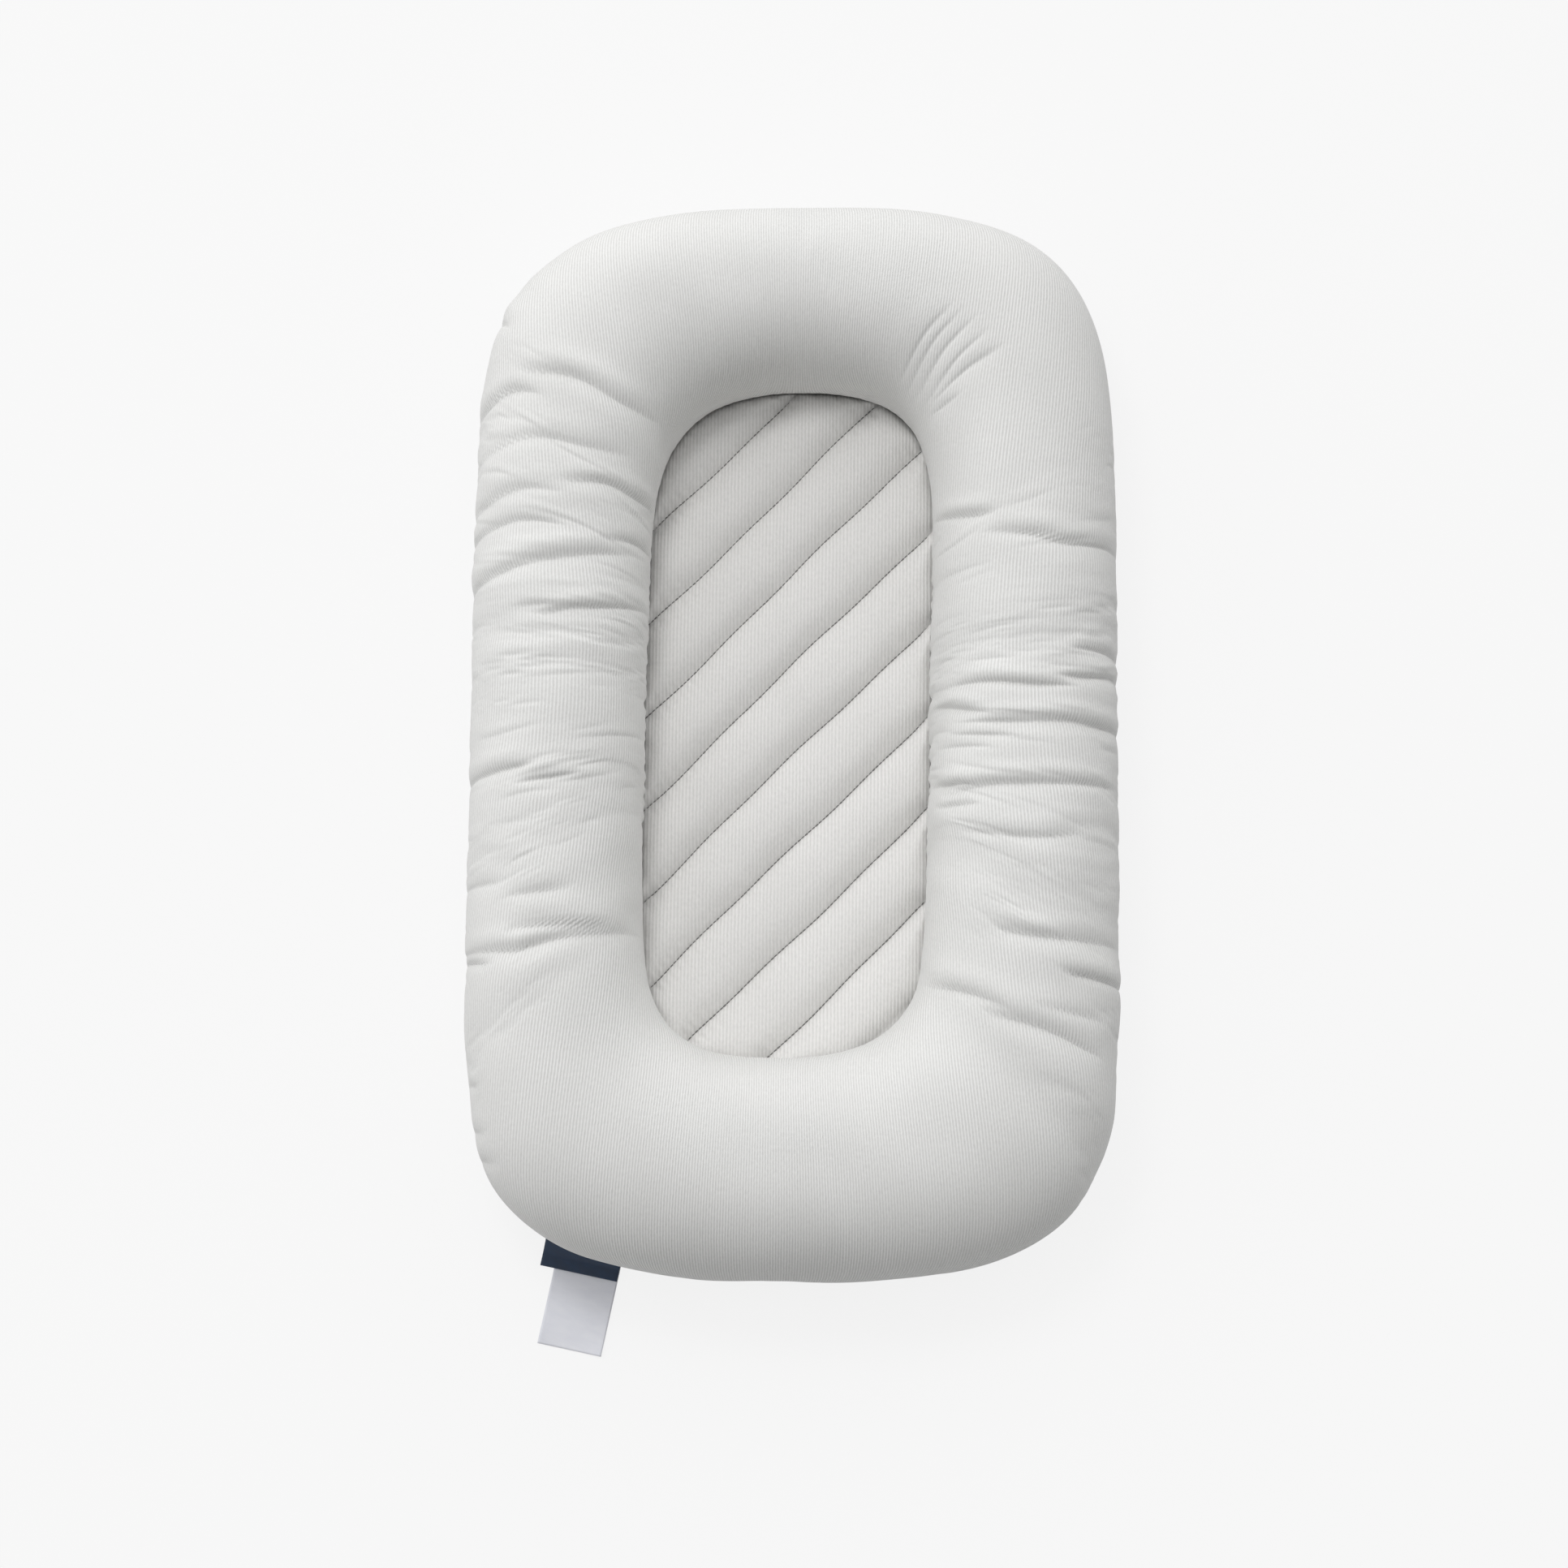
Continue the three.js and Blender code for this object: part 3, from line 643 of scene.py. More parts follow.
def flat_cloth_vector(tree):
    """Places on the flat cloth, from the pieces' own attributes."""
    across = add_node(tree, "ShaderNodeAttribute", attribute_name="across_ribs").outputs["Fac"]
    along = add_node(tree, "ShaderNodeAttribute", attribute_name="along_ribs").outputs["Fac"]
    return across, add_node(tree, "ShaderNodeCombineXYZ", {"X": across, "Y": along}).outputs[0]


RIB_PITCH = 0.00265
RIB_WANDER = (-0.9, 0.9)
RIB_STRENGTH = (0.35, 0.95)
YARN_TONES = (0.89, 1.10)
PATCH_TONES = (0.965, 1.03)
YARN_RELIEF = 0.8


def ribbed_cloth(name):
    """Cotton knit with fine raised ribs, a grain of yarn and slight uneven patches, with painted
    shade in the grooves between the ribs.
    """
    material, tree, shader = new_material(name)
    across, flat = flat_cloth_vector(tree)
    wander = in_range(tree, pattern(tree, flat, "rib_wander"), *RIB_WANDER)
    phase = calculate(tree, "MULTIPLY", across, 2 * math.pi / RIB_PITCH)
    wave = calculate(tree, "SINE", calculate(tree, "ADD", phase, wander))
    rib = in_range(tree, wave, 0.0, 1.0, source=(-1.0, 1.0))
    strength = in_range(tree, pattern(tree, flat, "rib_strength"), *RIB_STRENGTH)
    rib = calculate(tree, "MULTIPLY", rib, strength)
    yarn = pattern(tree, flat, "yarn")
    yarn_tone = in_range(tree, yarn, *YARN_TONES)
    patch_tone = in_range(tree, pattern(tree, flat, "patches"), *PATCH_TONES)
    tone = calculate(tree, "MULTIPLY", yarn_tone, patch_tone)
    # The colour follows the ribs: painted shade in the grooves, the light tone on the crests.
    inputs = {0: tones_between(tree, name, rib), "Scale": tone}
    tinted = add_node(tree, "ShaderNodeVectorMath", inputs, operation="SCALE").outputs["Vector"]
    relief = calculate(tree, "MULTIPLY_ADD", yarn, YARN_RELIEF, rib)
    set_surface(tree, shader, "knit", tinted, yarn, relief)
    shader.inputs["Sheen Roughness"].default_value = KNIT_SHEEN_ROUGHNESS
    shader.inputs["Specular IOR Level"].default_value = CLOTH_SHINE
    return material


LINING_THREAD = 0.0007
LINING_SHARES = (0.5, 0.5)
LINT_RELIEF = 0.5


def plain_cloth(name):
    """Plain woven cotton: crossing threads and a slight unevenness."""
    material, tree, shader = new_material(name)
    place = object_places(tree)
    parts = add_node(tree, "ShaderNodeSeparateXYZ", {"Vector": place}).outputs
    warp = sine_lines(tree, parts["X"], LINING_THREAD)
    weft = sine_lines(tree, parts["Y"], LINING_THREAD)
    crossing = calculate(tree, "MULTIPLY", warp, weft)
    weave = in_range(tree, crossing, 0.0, 1.0, source=(-1.0, 1.0))
    lint = pattern(tree, place, "lint")
    uneven = pattern(tree, place, "uneven_weave")
    share = added(tree, weave, LINING_SHARES[0], uneven, LINING_SHARES[1])
    relief = calculate(tree, "MULTIPLY_ADD", lint, LINT_RELIEF, weave)
    set_surface(tree, shader, "plain_weave", tones_between(tree, name, share), lint, relief)
    shader.inputs["Specular IOR Level"].default_value = CLOTH_SHINE
    return material


FIBRE_SHARES = (0.5, 0.5)


def fibre_material(name):
    """Loose polyester fibre: tangled strands, from coarse to fine."""
    material, tree, shader = new_material(name)
    place = object_places(tree)
    clumps = pattern(tree, place, "fibre_clumps")
    strands = pattern(tree, place, "fibre_strands")
    share = added(tree, clumps, FIBRE_SHARES[0], strands, FIBRE_SHARES[1])
    set_surface(tree, shader, "fibre", tones_between(tree, name, share), strands, share)
    return material


THREAD_TWIST = {"Scale": 900.0, "Distortion": 1.5, "Detail": 1.0}


def thread_material(name):
    """Sewing thread with its plies twisted round each other."""
    material, tree, shader = new_material(name)
    place = object_places(tree)
    inputs = {"Vector": place, **THREAD_TWIST}
    twist = add_node(tree, "ShaderNodeTexWave", inputs, bands_direction="DIAGONAL").outputs["Fac"]
    set_surface(tree, shader, "thread", tones_between(tree, name, twist), twist, twist)
    return material


TAPE_TWILL = {"Scale": 420.0, "Distortion": 0.4}
TAPE_STRETCH = (0.25, 1.0, 1.0)
TAPE_GRAIN_RELIEF = 0.4


def tape_material(name):
    """Zip tape: a tight twill in fine lines along the tape."""
    material, tree, shader = new_material(name)
    place = object_places(tree)
    inputs = {"Vector": scaled(tree, place, TAPE_STRETCH), **TAPE_TWILL}
    lines = add_node(tree, "ShaderNodeTexWave", inputs, bands_direction="Y").outputs["Fac"]
    grain = pattern(tree, place, "tape_grain")
    relief = calculate(tree, "MULTIPLY_ADD", grain, TAPE_GRAIN_RELIEF, lines)
    set_surface(tree, shader, "tape", tones_between(tree, name, lines), grain, relief)
    return material


def nylon_material(name):
    """Drawn nylon monofilament, slightly milky."""
    material, tree, shader = new_material(name)
    place = object_places(tree)
    streaks = pattern(tree, place, "nylon_streaks")
    set_surface(tree, shader, "nylon", tones_between(tree, name, streaks), streaks, streaks)
    return material


def metal_material(name):
    """Brushed zinc casting, with fine scratches along X and worn tones."""
    material, tree, shader = new_material(name)
    place = object_places(tree)
    scratches = pattern(tree, place, "scratches")
    worn = tones_between(tree, name, pattern(tree, place, "wear"))
    set_surface(tree, shader, "metal", worn, scratches, scratches)
    shader.inputs["Metallic"].default_value = 1.0
    return material


RIBBON_WEFT = 0.00045
RIBBON_WARP = RIBBON_WEFT / 0.6
RIBBON_WARP_SHARE = 0.4
RIBBON_SHARES = (0.35, 0.75)


def ribbon_material(name):
    """Woven label satin: fine weft lines, crossed by a fainter warp, with soft broad shades."""
    material, tree, shader = new_material(name)
    flat = flat_cloth_vector(tree)[1]
    parts = add_node(tree, "ShaderNodeSeparateXYZ", {"Vector": flat}).outputs
    weft = sine_lines(tree, parts["Y"], RIBBON_WEFT)
    warp = sine_lines(tree, parts["X"], RIBBON_WARP)
    weave = calculate(tree, "MULTIPLY_ADD", warp, RIBBON_WARP_SHARE, weft)
    reach = 1 + RIBBON_WARP_SHARE
    weave = in_range(tree, weave, 0.0, 1.0, source=(-reach, reach))
    shades = pattern(tree, flat, "ribbon_shades")
    share = added(tree, weave, RIBBON_SHARES[0], shades, RIBBON_SHARES[1])
    set_surface(tree, shader, "ribbon", tones_between(tree, name, share), shades, weave)
    return material


rib_cloth = ribbed_cloth("rib_cloth")
quilt_cloth = ribbed_cloth("quilt_cloth")
lining_cloth = plain_cloth("lining_cloth")
white_fibre = fibre_material("white_fibre")
# Quilting thread, darkened partly as painted shade of the quilting valleys.
seam_thread = thread_material("seam_thread")
# Grey cord material: painted shade of the gap at the inner seam.
seam_tape_painted_shade = thread_material("seam_tape_painted_shade")
pale_thread = thread_material("pale_thread")
zip_tape = tape_material("zip_tape")
zip_nylon = nylon_material("zip_nylon")
zip_metal = metal_material("zip_metal")
navy_ribbon = ribbon_material("navy_ribbon")
white_ribbon = ribbon_material("white_ribbon")


# Bolster cover

BOLSTER_STATIONS = 1560
BOLSTER_SIDE_DENSITY = 2.8
BOLSTER_ROWS = 58
INSIDE_STEP = 6
INSIDE_ROWS = 14
INSIDE_INSET = 0.0056


def crease(distance, width):
    """Depth across one fold: sharp and steep towards the head, with a low swell beyond."""
    reach = width * np.where(distance > 0, FOLD_HEADWARD_WIDTH, FOLD_FOOTWARD_WIDTH)
    away = np.sqrt(distance**2 + FOLD_CUSP**2) - FOLD_CUSP
    valley = np.exp(-((away / reach) ** FOLD_FLANK_POWER))
    swell_offset = (distance - FOLD_SWELL_PLACE * width) / (FOLD_SWELL_WIDTH * width)
    return valley - FOLD_SWELL_SHARE * np.exp(-(swell_offset**2))


def groove(distance):
    """Depth across the thin line at the bottom of a fold."""
    return np.exp(-((distance / FOLD_GROOVE_WIDTH) ** 2))


def fold_depths(plan, points, depth, width):
    """Depth of one fold at each place in plan, dying out at both of its ends, and of the thin
    line at its bottom."""
    broad, line = np.zeros(len(plan)), np.zeros(len(plan))
    curve = smooth_curve(points, CURVE_SAMPLES)
    margin = FOLD_FARTHEST_WIDTHS * width
    near = np.all((plan > curve.min(0) - margin) & (plan < curve.max(0) + margin), axis=1)
    tangents = np.gradient(curve, axis=0)
    step = np.linalg.norm(tangents, axis=1)
    tangents /= step[:, None]
    offsets = plan[near][:, None] - curve[None]
    closest = np.argmin((offsets**2).sum(axis=2), axis=1)
    offset = offsets[np.arange(len(closest)), closest]
    tangent = tangents[closest]
    place = closest + (offset * tangent).sum(axis=1) / step[closest]
    place = np.clip(place / (CURVE_SAMPLES - 1), 0, 1)
    normal = np.stack([-tangent[:, 1], tangent[:, 0]], axis=1)
    headwards = np.sign(normal @ FOLD_HEADWARDS)
    distance = (offset * normal).sum(axis=1) * headwards
    fading = np.sin(math.pi * place) ** FOLD_END_POWER
    broad[near] = depth * crease(distance, width) * fading
    deepest_line = min(FOLD_GROOVE_SHARE * depth, FOLD_GROOVE_DEEPEST)
    line[near] = deepest_line * groove(distance) * fading
    return broad, line


# Ends between which each measure of a loose wrinkle is drawn
WRINKLE_RANGES = {
    "start": (0.030, 0.250),
    "length": (0.020, 0.085),
    "width": (0.0022, 0.0055),
    "slant": (-0.14, 0.14),
    "bow": (-0.004, 0.004),
    "depth": (0.0003, 0.0012),
}
WRINKLE_NEIGHBOURHOOD = 0.03


def loose_wrinkles(stations, from_inner, rng):
    """Depth of the small wrinkles that cross the two sides from seam to seam."""
    total = np.zeros(from_inner.shape)
    run = stations["run"]
    place_y = stations["middle"][:, 1]
    for side, low, high, count in WRINKLED_STRETCHES:
        on_side = np.where(np.sign(stations["middle"][:, 0]) == side)[0]
        for _ in range(count):
            nearest = on_side[np.argmin(np.abs(place_y[on_side] - rng.uniform(low, high)))]
            drawn = [rng.uniform(*ends) for ends in WRINKLE_RANGES.values()]
            start, length, width, slant, bow, depth = drawn
            columns = np.abs(run - run[nearest]) < WRINKLE_NEIGHBOURHOOD
            share = (from_inner[:, columns] - start) / length
            arch = np.sin(math.pi * np.clip(share, 0, 1))
            offset = run[columns] - run[nearest] - slant * (share - 0.5) * length
            offset = (offset - bow * arch) * side
            total[:, columns] += depth * crease(offset, width) * arch**FOLD_END_POWER
    return total


SKIN_STATIONS = 760
SKIN_SIDE_DENSITY = 1.7
SKIN_ROWS = 36
SKIN_GROWTH = 0.10
SKIN_PRESSURE = 12.0
SKIN_FRAMES = 20
SKIN_DEEPEST = 0.0032
SKIN_SMOOTHING = 24
SKIN_CLOTH = {
    "quality": 5,
    "mass": 0.15,
    "tension_stiffness": 20,
    "compression_stiffness": 10,
    "shear_stiffness": 5,
    "bending_stiffness": 0.03,
    "air_damping": 3,
    "vertex_group_mass": "seams",
    "vertex_group_shrink": "taut",
    "shrink_min": -SKIN_GROWTH,
    "shrink_max": 0,
    "use_pressure": True,
    "uniform_pressure_force": SKIN_PRESSURE,
}
SLACK_FADE = 0.02
# Stretches of the two sides with slack cloth, as (side, from, to, share of the growth)
SLACK_STRETCHES = [
    (-1, 0.085, 0.262, 1.0),
    (-1, -0.045, 0.020, 0.45),
    (-1, -0.180, -0.100, 0.8),
    (1, -0.240, -0.140, 0.9),
    (1, -0.100, 0.045, 1.0),
    (1, 0.080, 0.160, 0.4),
]


def slack_share(stations):
    """How slack the skin is at each station, from 0 to 1."""
    x, y = stations["middle"].T
    share = np.zeros(len(x))
    for side, low, high, growth in SLACK_STRETCHES:
        begun = smooth_step(y, low - SLACK_FADE, low + SLACK_FADE)
        ended = smooth_step(y, high - SLACK_FADE, high + SLACK_FADE)
        share = np.maximum(share, growth * begun * (1 - ended) * (np.sign(x) == side))
    return share


def blown_skin(stations, angles):
    """Places that a slack skin takes, sewn fast at its two seams and blown up from within."""
    points = ring_points(stations, angles, 0.0)
    rows, columns = points.shape[:2]
    faces = grid_faces(rows, columns, closed_columns=True)
    skin = add_mesh("slack_skin", points, faces, recalculate=True)
    seams = skin.vertex_groups.new(name="seams")
    seams.add(list(range(columns)), 1.0, "REPLACE")
    seams.add(list(range((rows - 1) * columns, rows * columns)), 1.0, "REPLACE")
    taut = skin.vertex_groups.new(name="taut")
    for column, share in enumerate(slack_share(stations)):
        taut.add(list(range(column, rows * columns, columns)), float(1 - share), "REPLACE")
    cloth = skin.modifiers.new("cloth", "CLOTH")
    for name, value in SKIN_CLOTH.items():
        setattr(cloth.settings, name, value)
    cloth.settings.effector_weights.gravity = 0
    cloth.collision_settings.use_collision = False
    cloth.point_cache.frame_end = SKIN_FRAMES
    for moment in range(1, SKIN_FRAMES + 1):
        bpy.context.scene.frame_set(moment)
    settled = skin.evaluated_get(bpy.context.evaluated_depsgraph_get())
    places = read_places(settled.data)
    bpy.data.objects.remove(skin)
    bpy.context.scene.frame_set(1)
    return points, places.reshape(points.shape)


def small_folds(stations, rows):
    """How far the blown skin's small folds stand out, without its broad swelling."""
    coarse = even_stations(SKIN_STATIONS, SKIN_SIDE_DENSITY)
    angles = even_angles(OUTER_SEAM_ANGLE, INNER_SEAM_ANGLE, SKIN_ROWS)
    points, settled = blown_skin(coarse, angles)
    moved = ((settled - points) * ring_normals(points)).sum(axis=2)
    weights = np.hanning(2 * SKIN_SMOOTHING + 1)
    weights /= weights.sum()
    wrapped = np.hstack([moved[:, -SKIN_SMOOTHING:], moved, moved[:, :SKIN_SMOOTHING]])
    broad = np.array([np.convolve(row, weights, "valid") for row in wrapped])
    small = moved - broad
    small = SKIN_DEEPEST * np.tanh(small / SKIN_DEEPEST)
    whole = coarse["run"][-1] + np.linalg.norm(coarse["middle"][-1] - coarse["middle"][0])
    run = np.append(coarse["run"], whole)
    closed = np.hstack([small, small[:, :1]])
    finer = np.array([np.interp(stations["run"], run, row) for row in closed])
    place, wanted = np.linspace(0, 1, SKIN_ROWS), np.linspace(0, 1, rows)
    return np.array([np.interp(wanted, place, column) for column in finer.T]).T


# Gathers along the two seams: spacing, depth, width, and how far they reach from the seam
INNER_GATHERS = {"pitch": 0.0118, "depth": 0.0024, "width": 0.0030, "reach": 0.045}
OUTER_GATHERS = {"pitch": 0.015, "depth": 0.0012, "width": 0.0035, "reach": 0.020}
# How far each measure of a gather strays, as shares of its usual value
PITCH_SHARES = (0.7, 1.35)
WIDTH_SHARES = (0.8, 1.3)
DEPTH_SHARES = (0.5, 1.2)
REACH_SHARES = [0.6, 0.8, 1.0, 1.8]
REACH_CHANCES = [0.3, 0.3, 0.25, 0.15]
GATHER_SLANTS = (-0.15, 0.15)
# Distance from the seam at which a gather is twice as wide
GATHER_DOUBLING = 0.05
# How many of its widths and reaches along the seam a gather can be felt
GATHER_NEIGHBOURHOOD = (4, 1.2)


def seam_gathers(stations, distance, rng, pitch, depth, width, reach):
    """Puckers that start at a seam, and widen and die out away from it."""
    total = np.zeros(distance.shape)
    run = stations["run"]
    widths, reaches = GATHER_NEIGHBOURHOOD
    place = 0.0
    while place < run[-1]:
        place += pitch * rng.uniform(*PITCH_SHARES)
        pucker_width = width * rng.uniform(*WIDTH_SHARES)
        pucker_reach = reach * rng.choice(REACH_SHARES, p=REACH_CHANCES)
        pucker_depth = depth * rng.uniform(*DEPTH_SHARES)
        slant = rng.uniform(*GATHER_SLANTS)
        columns = np.abs(run - place) < widths * pucker_width + reaches * pucker_reach
        patch = distance[:, columns]
        widening = 1 + patch / GATHER_DOUBLING
        offset = (run[columns] - place - slant * patch) / (pucker_width * widening)
        fading = np.exp(-((patch / pucker_reach) ** 2))
        total[:, columns] += pucker_depth * np.exp(-(offset**2)) * fading
    return total


# The ends keep this share of what crumples and gathers the two sides
END_SHARE = 0.12
SIDE_RANGE = (0.80, 0.99)
# Heights between which the folds of the upper skin begin, and the share of small folds below
UPPER_RANGE = (0.050, 0.095)
LOWER_SMALL_FOLDS = 0.15
# Fine crumples: depth and length, and how far they are drawn out down the section
CRUMPLES = [(0.00055, 0.021), (0.00016, 0.0085)]
CRUMPLE_STRETCH = 0.22
CRUMPLE_PATCH_LENGTH = 0.16
CRUMPLE_PATCH_RANGE = (-0.3, 0.9)
CRUMPLE_EVERYWHERE = 0.25
UNEVEN_DEPTH = 0.0009
UNEVEN_LENGTH = 0.085
# Each seam holds the skin, and lets it go over these distances
INNER_HOLD = 0.006
OUTER_HOLD = 0.008
# Over the inner seam the skin swells out a little between these distances, least at the head
TUCK_RANGE = (0.007, 0.026)
TUCK_HEAD_RANGE = (0.3, 0.9)
TUCK_HEAD_LOSS = 0.6


def bolster_surface(stations, angles):
    """The skin's outer surface, with its folds, wrinkles and gathers, and its cloth directions."""
    rng = np.random.default_rng(SEEDS["skin"])
    points = ring_points(stations, angles, 0.0)
    normals = ring_normals(points)
    from_inner = down_the_section(points)
    from_outer = from_inner[:1] - from_inner
    height = points[..., 2]
    sideness = smooth_step(np.abs(stations["outward"][:, 0]), *SIDE_RANGE)
    side_share = END_SHARE + (1 - END_SHARE) * sideness
    plan = points[..., :2].reshape(-1, 2)

    depth, lines = np.zeros(len(plan)), np.zeros(len(plan))
    for fold_depth, width, places in LEFT_FOLDS + RIGHT_FOLDS:
        broad, line = fold_depths(plan, places, FOLD_STRENGTH * fold_depth, width)
        depth += broad
        lines = np.maximum(lines, line)
    upper = smooth_step(height, *UPPER_RANGE)
    depth = depth.reshape(height.shape) * upper
    depth += WRINKLE_STRENGTH * loose_wrinkles(stations, from_inner, rng)
    share = SMALL_FOLD_SHARE * (LOWER_SMALL_FOLDS + (1 - LOWER_SMALL_FOLDS) * upper)
    depth -= share * small_folds(stations, len(angles))
    depth = np.where(depth > 0, FOLD_DEEPEST * np.tanh(depth / FOLD_DEEPEST), depth)
    depth += lines.reshape(height.shape) * upper

    across_grain = np.stack([points[..., 1], CRUMPLE_STRETCH * from_inner], axis=2)
    noisy = soft_noise(points, rng, CRUMPLE_PATCH_LENGTH)
    patchy = smooth_step(noisy, *CRUMPLE_PATCH_RANGE)
    crumple = sum(deep * soft_noise(across_grain, rng, length) for deep, length in CRUMPLES)
    crumpled = CRUMPLE_EVERYWHERE + (1 - CRUMPLE_EVERYWHERE) * patchy
    depth += crumple * side_share * crumpled
    depth += UNEVEN_DEPTH * soft_noise(points, rng, UNEVEN_LENGTH)
    depth += side_share * seam_gathers(stations, from_inner, rng, **INNER_GATHERS)
    depth += seam_gathers(stations, from_outer, rng, **OUTER_GATHERS)
    over = np.maximum(depth - SKIN_DEPTH_EASY, 0)
    depth = np.minimum(depth, SKIN_DEPTH_EASY) + SKIN_DEPTH_SPARE * np.tanh(over / SKIN_DEPTH_SPARE)
    headness = smooth_step(stations["outward"][:, 1], *TUCK_HEAD_RANGE)
    tuck = INNER_TUCK * (1 - TUCK_HEAD_LOSS * headness)
    depth -= tuck * (1 - smooth_step(from_inner, *TUCK_RANGE))
    held = smooth_step(from_inner, 0.0, INNER_HOLD) * smooth_step(from_outer, 0.0, OUTER_HOLD)
    surface = points - normals * (depth * held)[..., None]
    across_ribs = stations["inner"][:, 0] + stations["outward"][:, 0] * from_inner
    along_ribs = stations["inner"][:, 1] + stations["outward"][:, 1] * from_inner
    return surface, across_ribs, along_ribs


def rim_faces(fine_row, coarse_row, fine_count):
    """Triangles that join a fine edge to a coarser one with a point for every few of its own."""
    faces = []
    coarse_count = fine_count // INSIDE_STEP
    for j in range(coarse_count):
        fine = [fine_row + (INSIDE_STEP * j + k) % fine_count for k in range(INSIDE_STEP + 1)]
        near, far = coarse_row + j, coarse_row + (j + 1) % coarse_count
        half = INSIDE_STEP // 2
        faces += [(fine[k], fine[k + 1], near) for k in range(half)]
        faces.append((fine[half], far, near))
        faces += [(fine[k], fine[k + 1], far) for k in range(half, INSIDE_STEP)]
    return faces


def make_bolster_cover():
    stations = even_stations(BOLSTER_STATIONS, BOLSTER_SIDE_DENSITY)
    angles = even_angles(OUTER_SEAM_ANGLE, INNER_SEAM_ANGLE, BOLSTER_ROWS)
    surface, across_ribs, along_ribs = bolster_surface(stations, angles)
    coarse = {key: value[::INSIDE_STEP] for key, value in stations.items()}
    inside_angles = even_angles(OUTER_SEAM_ANGLE, INNER_SEAM_ANGLE, INSIDE_ROWS)
    bow = np.sin(np.linspace(0, math.pi, INSIDE_ROWS)) ** 0.5
    inside = ring_points(coarse, inside_angles, COVER_CLOTH + (INSIDE_INSET - COVER_CLOTH) * bow)
    coarse_count = BOLSTER_STATIONS // INSIDE_STEP
    first_inside = BOLSTER_ROWS * BOLSTER_STATIONS
    faces = grid_faces(BOLSTER_ROWS, BOLSTER_STATIONS, closed_columns=True)
    faces += grid_faces(INSIDE_ROWS, coarse_count, closed_columns=True, first=first_inside)
    faces += rim_faces(0, first_inside, BOLSTER_STATIONS)
    last_fine = (BOLSTER_ROWS - 1) * BOLSTER_STATIONS
    last_coarse = first_inside + (INSIDE_ROWS - 1) * coarse_count
    faces += rim_faces(last_fine, last_coarse, BOLSTER_STATIONS)
    points = np.vstack([surface.reshape(-1, 3), inside.reshape(-1, 3)])
    piece = add_mesh("bolster_cover", points, faces, recalculate=True)
    none = np.zeros(len(inside.reshape(-1, 3)))
    set_cloth_directions(
        piece,
        np.concatenate([across_ribs.ravel(), none]),
        np.concatenate([along_ribs.ravel(), none]),
    )
    finish_piece(piece, rib_cloth, ["cover_bolster"])


# Bindings of the two seams: angle on the section, radius, stitch spacing, and the share of
# the radius that a stitch draws in
INNER_CORD = {"angle": INNER_BINDING_ANGLE, "radius": 0.0009, "pitch": 0.004, "beads": 0.3}
OUTER_PIPING = {"angle": OUTER_BINDING_ANGLE, "radius": 0.0014, "pitch": 0.005, "beads": 0.25}
TUBE_STATIONS = 1440
TUBE_SIDES = 8
BEAD_POWER = 6


def ring_tube(name, material, slot, node, angle, radius, pitch, beads):
    """A sewn binding that follows a seam, drawn in a little at each stitch."""
    stations = even_stations(TUBE_STATIONS)
    centre = ring_points(stations, np.array([angle]), SEAM_INSET)[0]
    run = stations["run"]
    beading = 1 - beads * np.abs(np.cos(math.pi * run / pitch)) ** BEAD_POWER
    turns = 2 * math.pi * np.arange(TUBE_SIDES) / TUBE_SIDES
    outward = np.column_stack([stations["outward"], np.zeros(len(run))])
    rows = [
        centre + (radius * beading)[:, None] * (outward * math.cos(turn) + UPWARD * math.sin(turn))
        for turn in turns
    ]
    faces = closed_tube_faces(TUBE_SIDES, len(run))
    piece = add_mesh(name, np.array(rows), faces, recalculate=True)
    set_cloth_directions(piece, np.tile(run, TUBE_SIDES), np.repeat(turns * radius, len(run)))
    finish_piece(piece, material, [node])


# Quilted pad

PAD_OUTLINE_POINTS = 720
# Size, rate along the row and turn from row to row of each wave
ROW_STRAYS = [(0.0011, 2 * math.pi / 0.31, 1.7), (0.0005, 2 * math.pi / 0.093, 4.1)]
PUCKER_STRAYS = [(0.45, 41.0, 2.3), (0.3, 97.0, 1.0)]
EDGE_PUCKER_STRAYS = [(0.3, 60, 0.0)]


def pad_outline(inwards=0.0):
    """The pad's edge in plan, which stands just inside the inner seam."""
    stations = even_stations(PAD_OUTLINE_POINTS)
    seam = ring_points(stations, np.array([INNER_BINDING_ANGLE]), SEAM_INSET)[0, :, :2]
    return seam - stations["outward"] * (PAD_GAP + inwards)


def row_place(row):
    return QUILT_SHIFT + (MIDDLE_ROW - row) * QUILT_PITCH


def row_waves(along, row, waves):
    return sum(size * np.sin(along * rate + turn * row) for size, rate, turn in waves)


def chord_ends(outline, across):
    """Where lines along the rows, at these distances across them, meet the outline."""
    away, along = outline @ ACROSS_ROWS, outline @ ALONG_ROWS
    low, high = np.argmin(away), np.argmax(away)
    turned = np.roll(np.arange(len(away)), -low)
    split = (high - low) % len(away)
    one, other = turned[: split + 1], np.append(turned[split:], turned[0])
    ends = []
    for chain in (one, other):
        order = np.argsort(away[chain])
        ends.append(np.interp(across, away[chain][order], along[chain][order]))
    return np.minimum(*ends), np.maximum(*ends)


# Margin of the grid's corners, and how much its lines crowd to the rows and to their ends
GRID_MARGIN = 0.00005
CROWDED_TO_ROWS = 0.6
CROWDED_TO_ENDS = 0.10


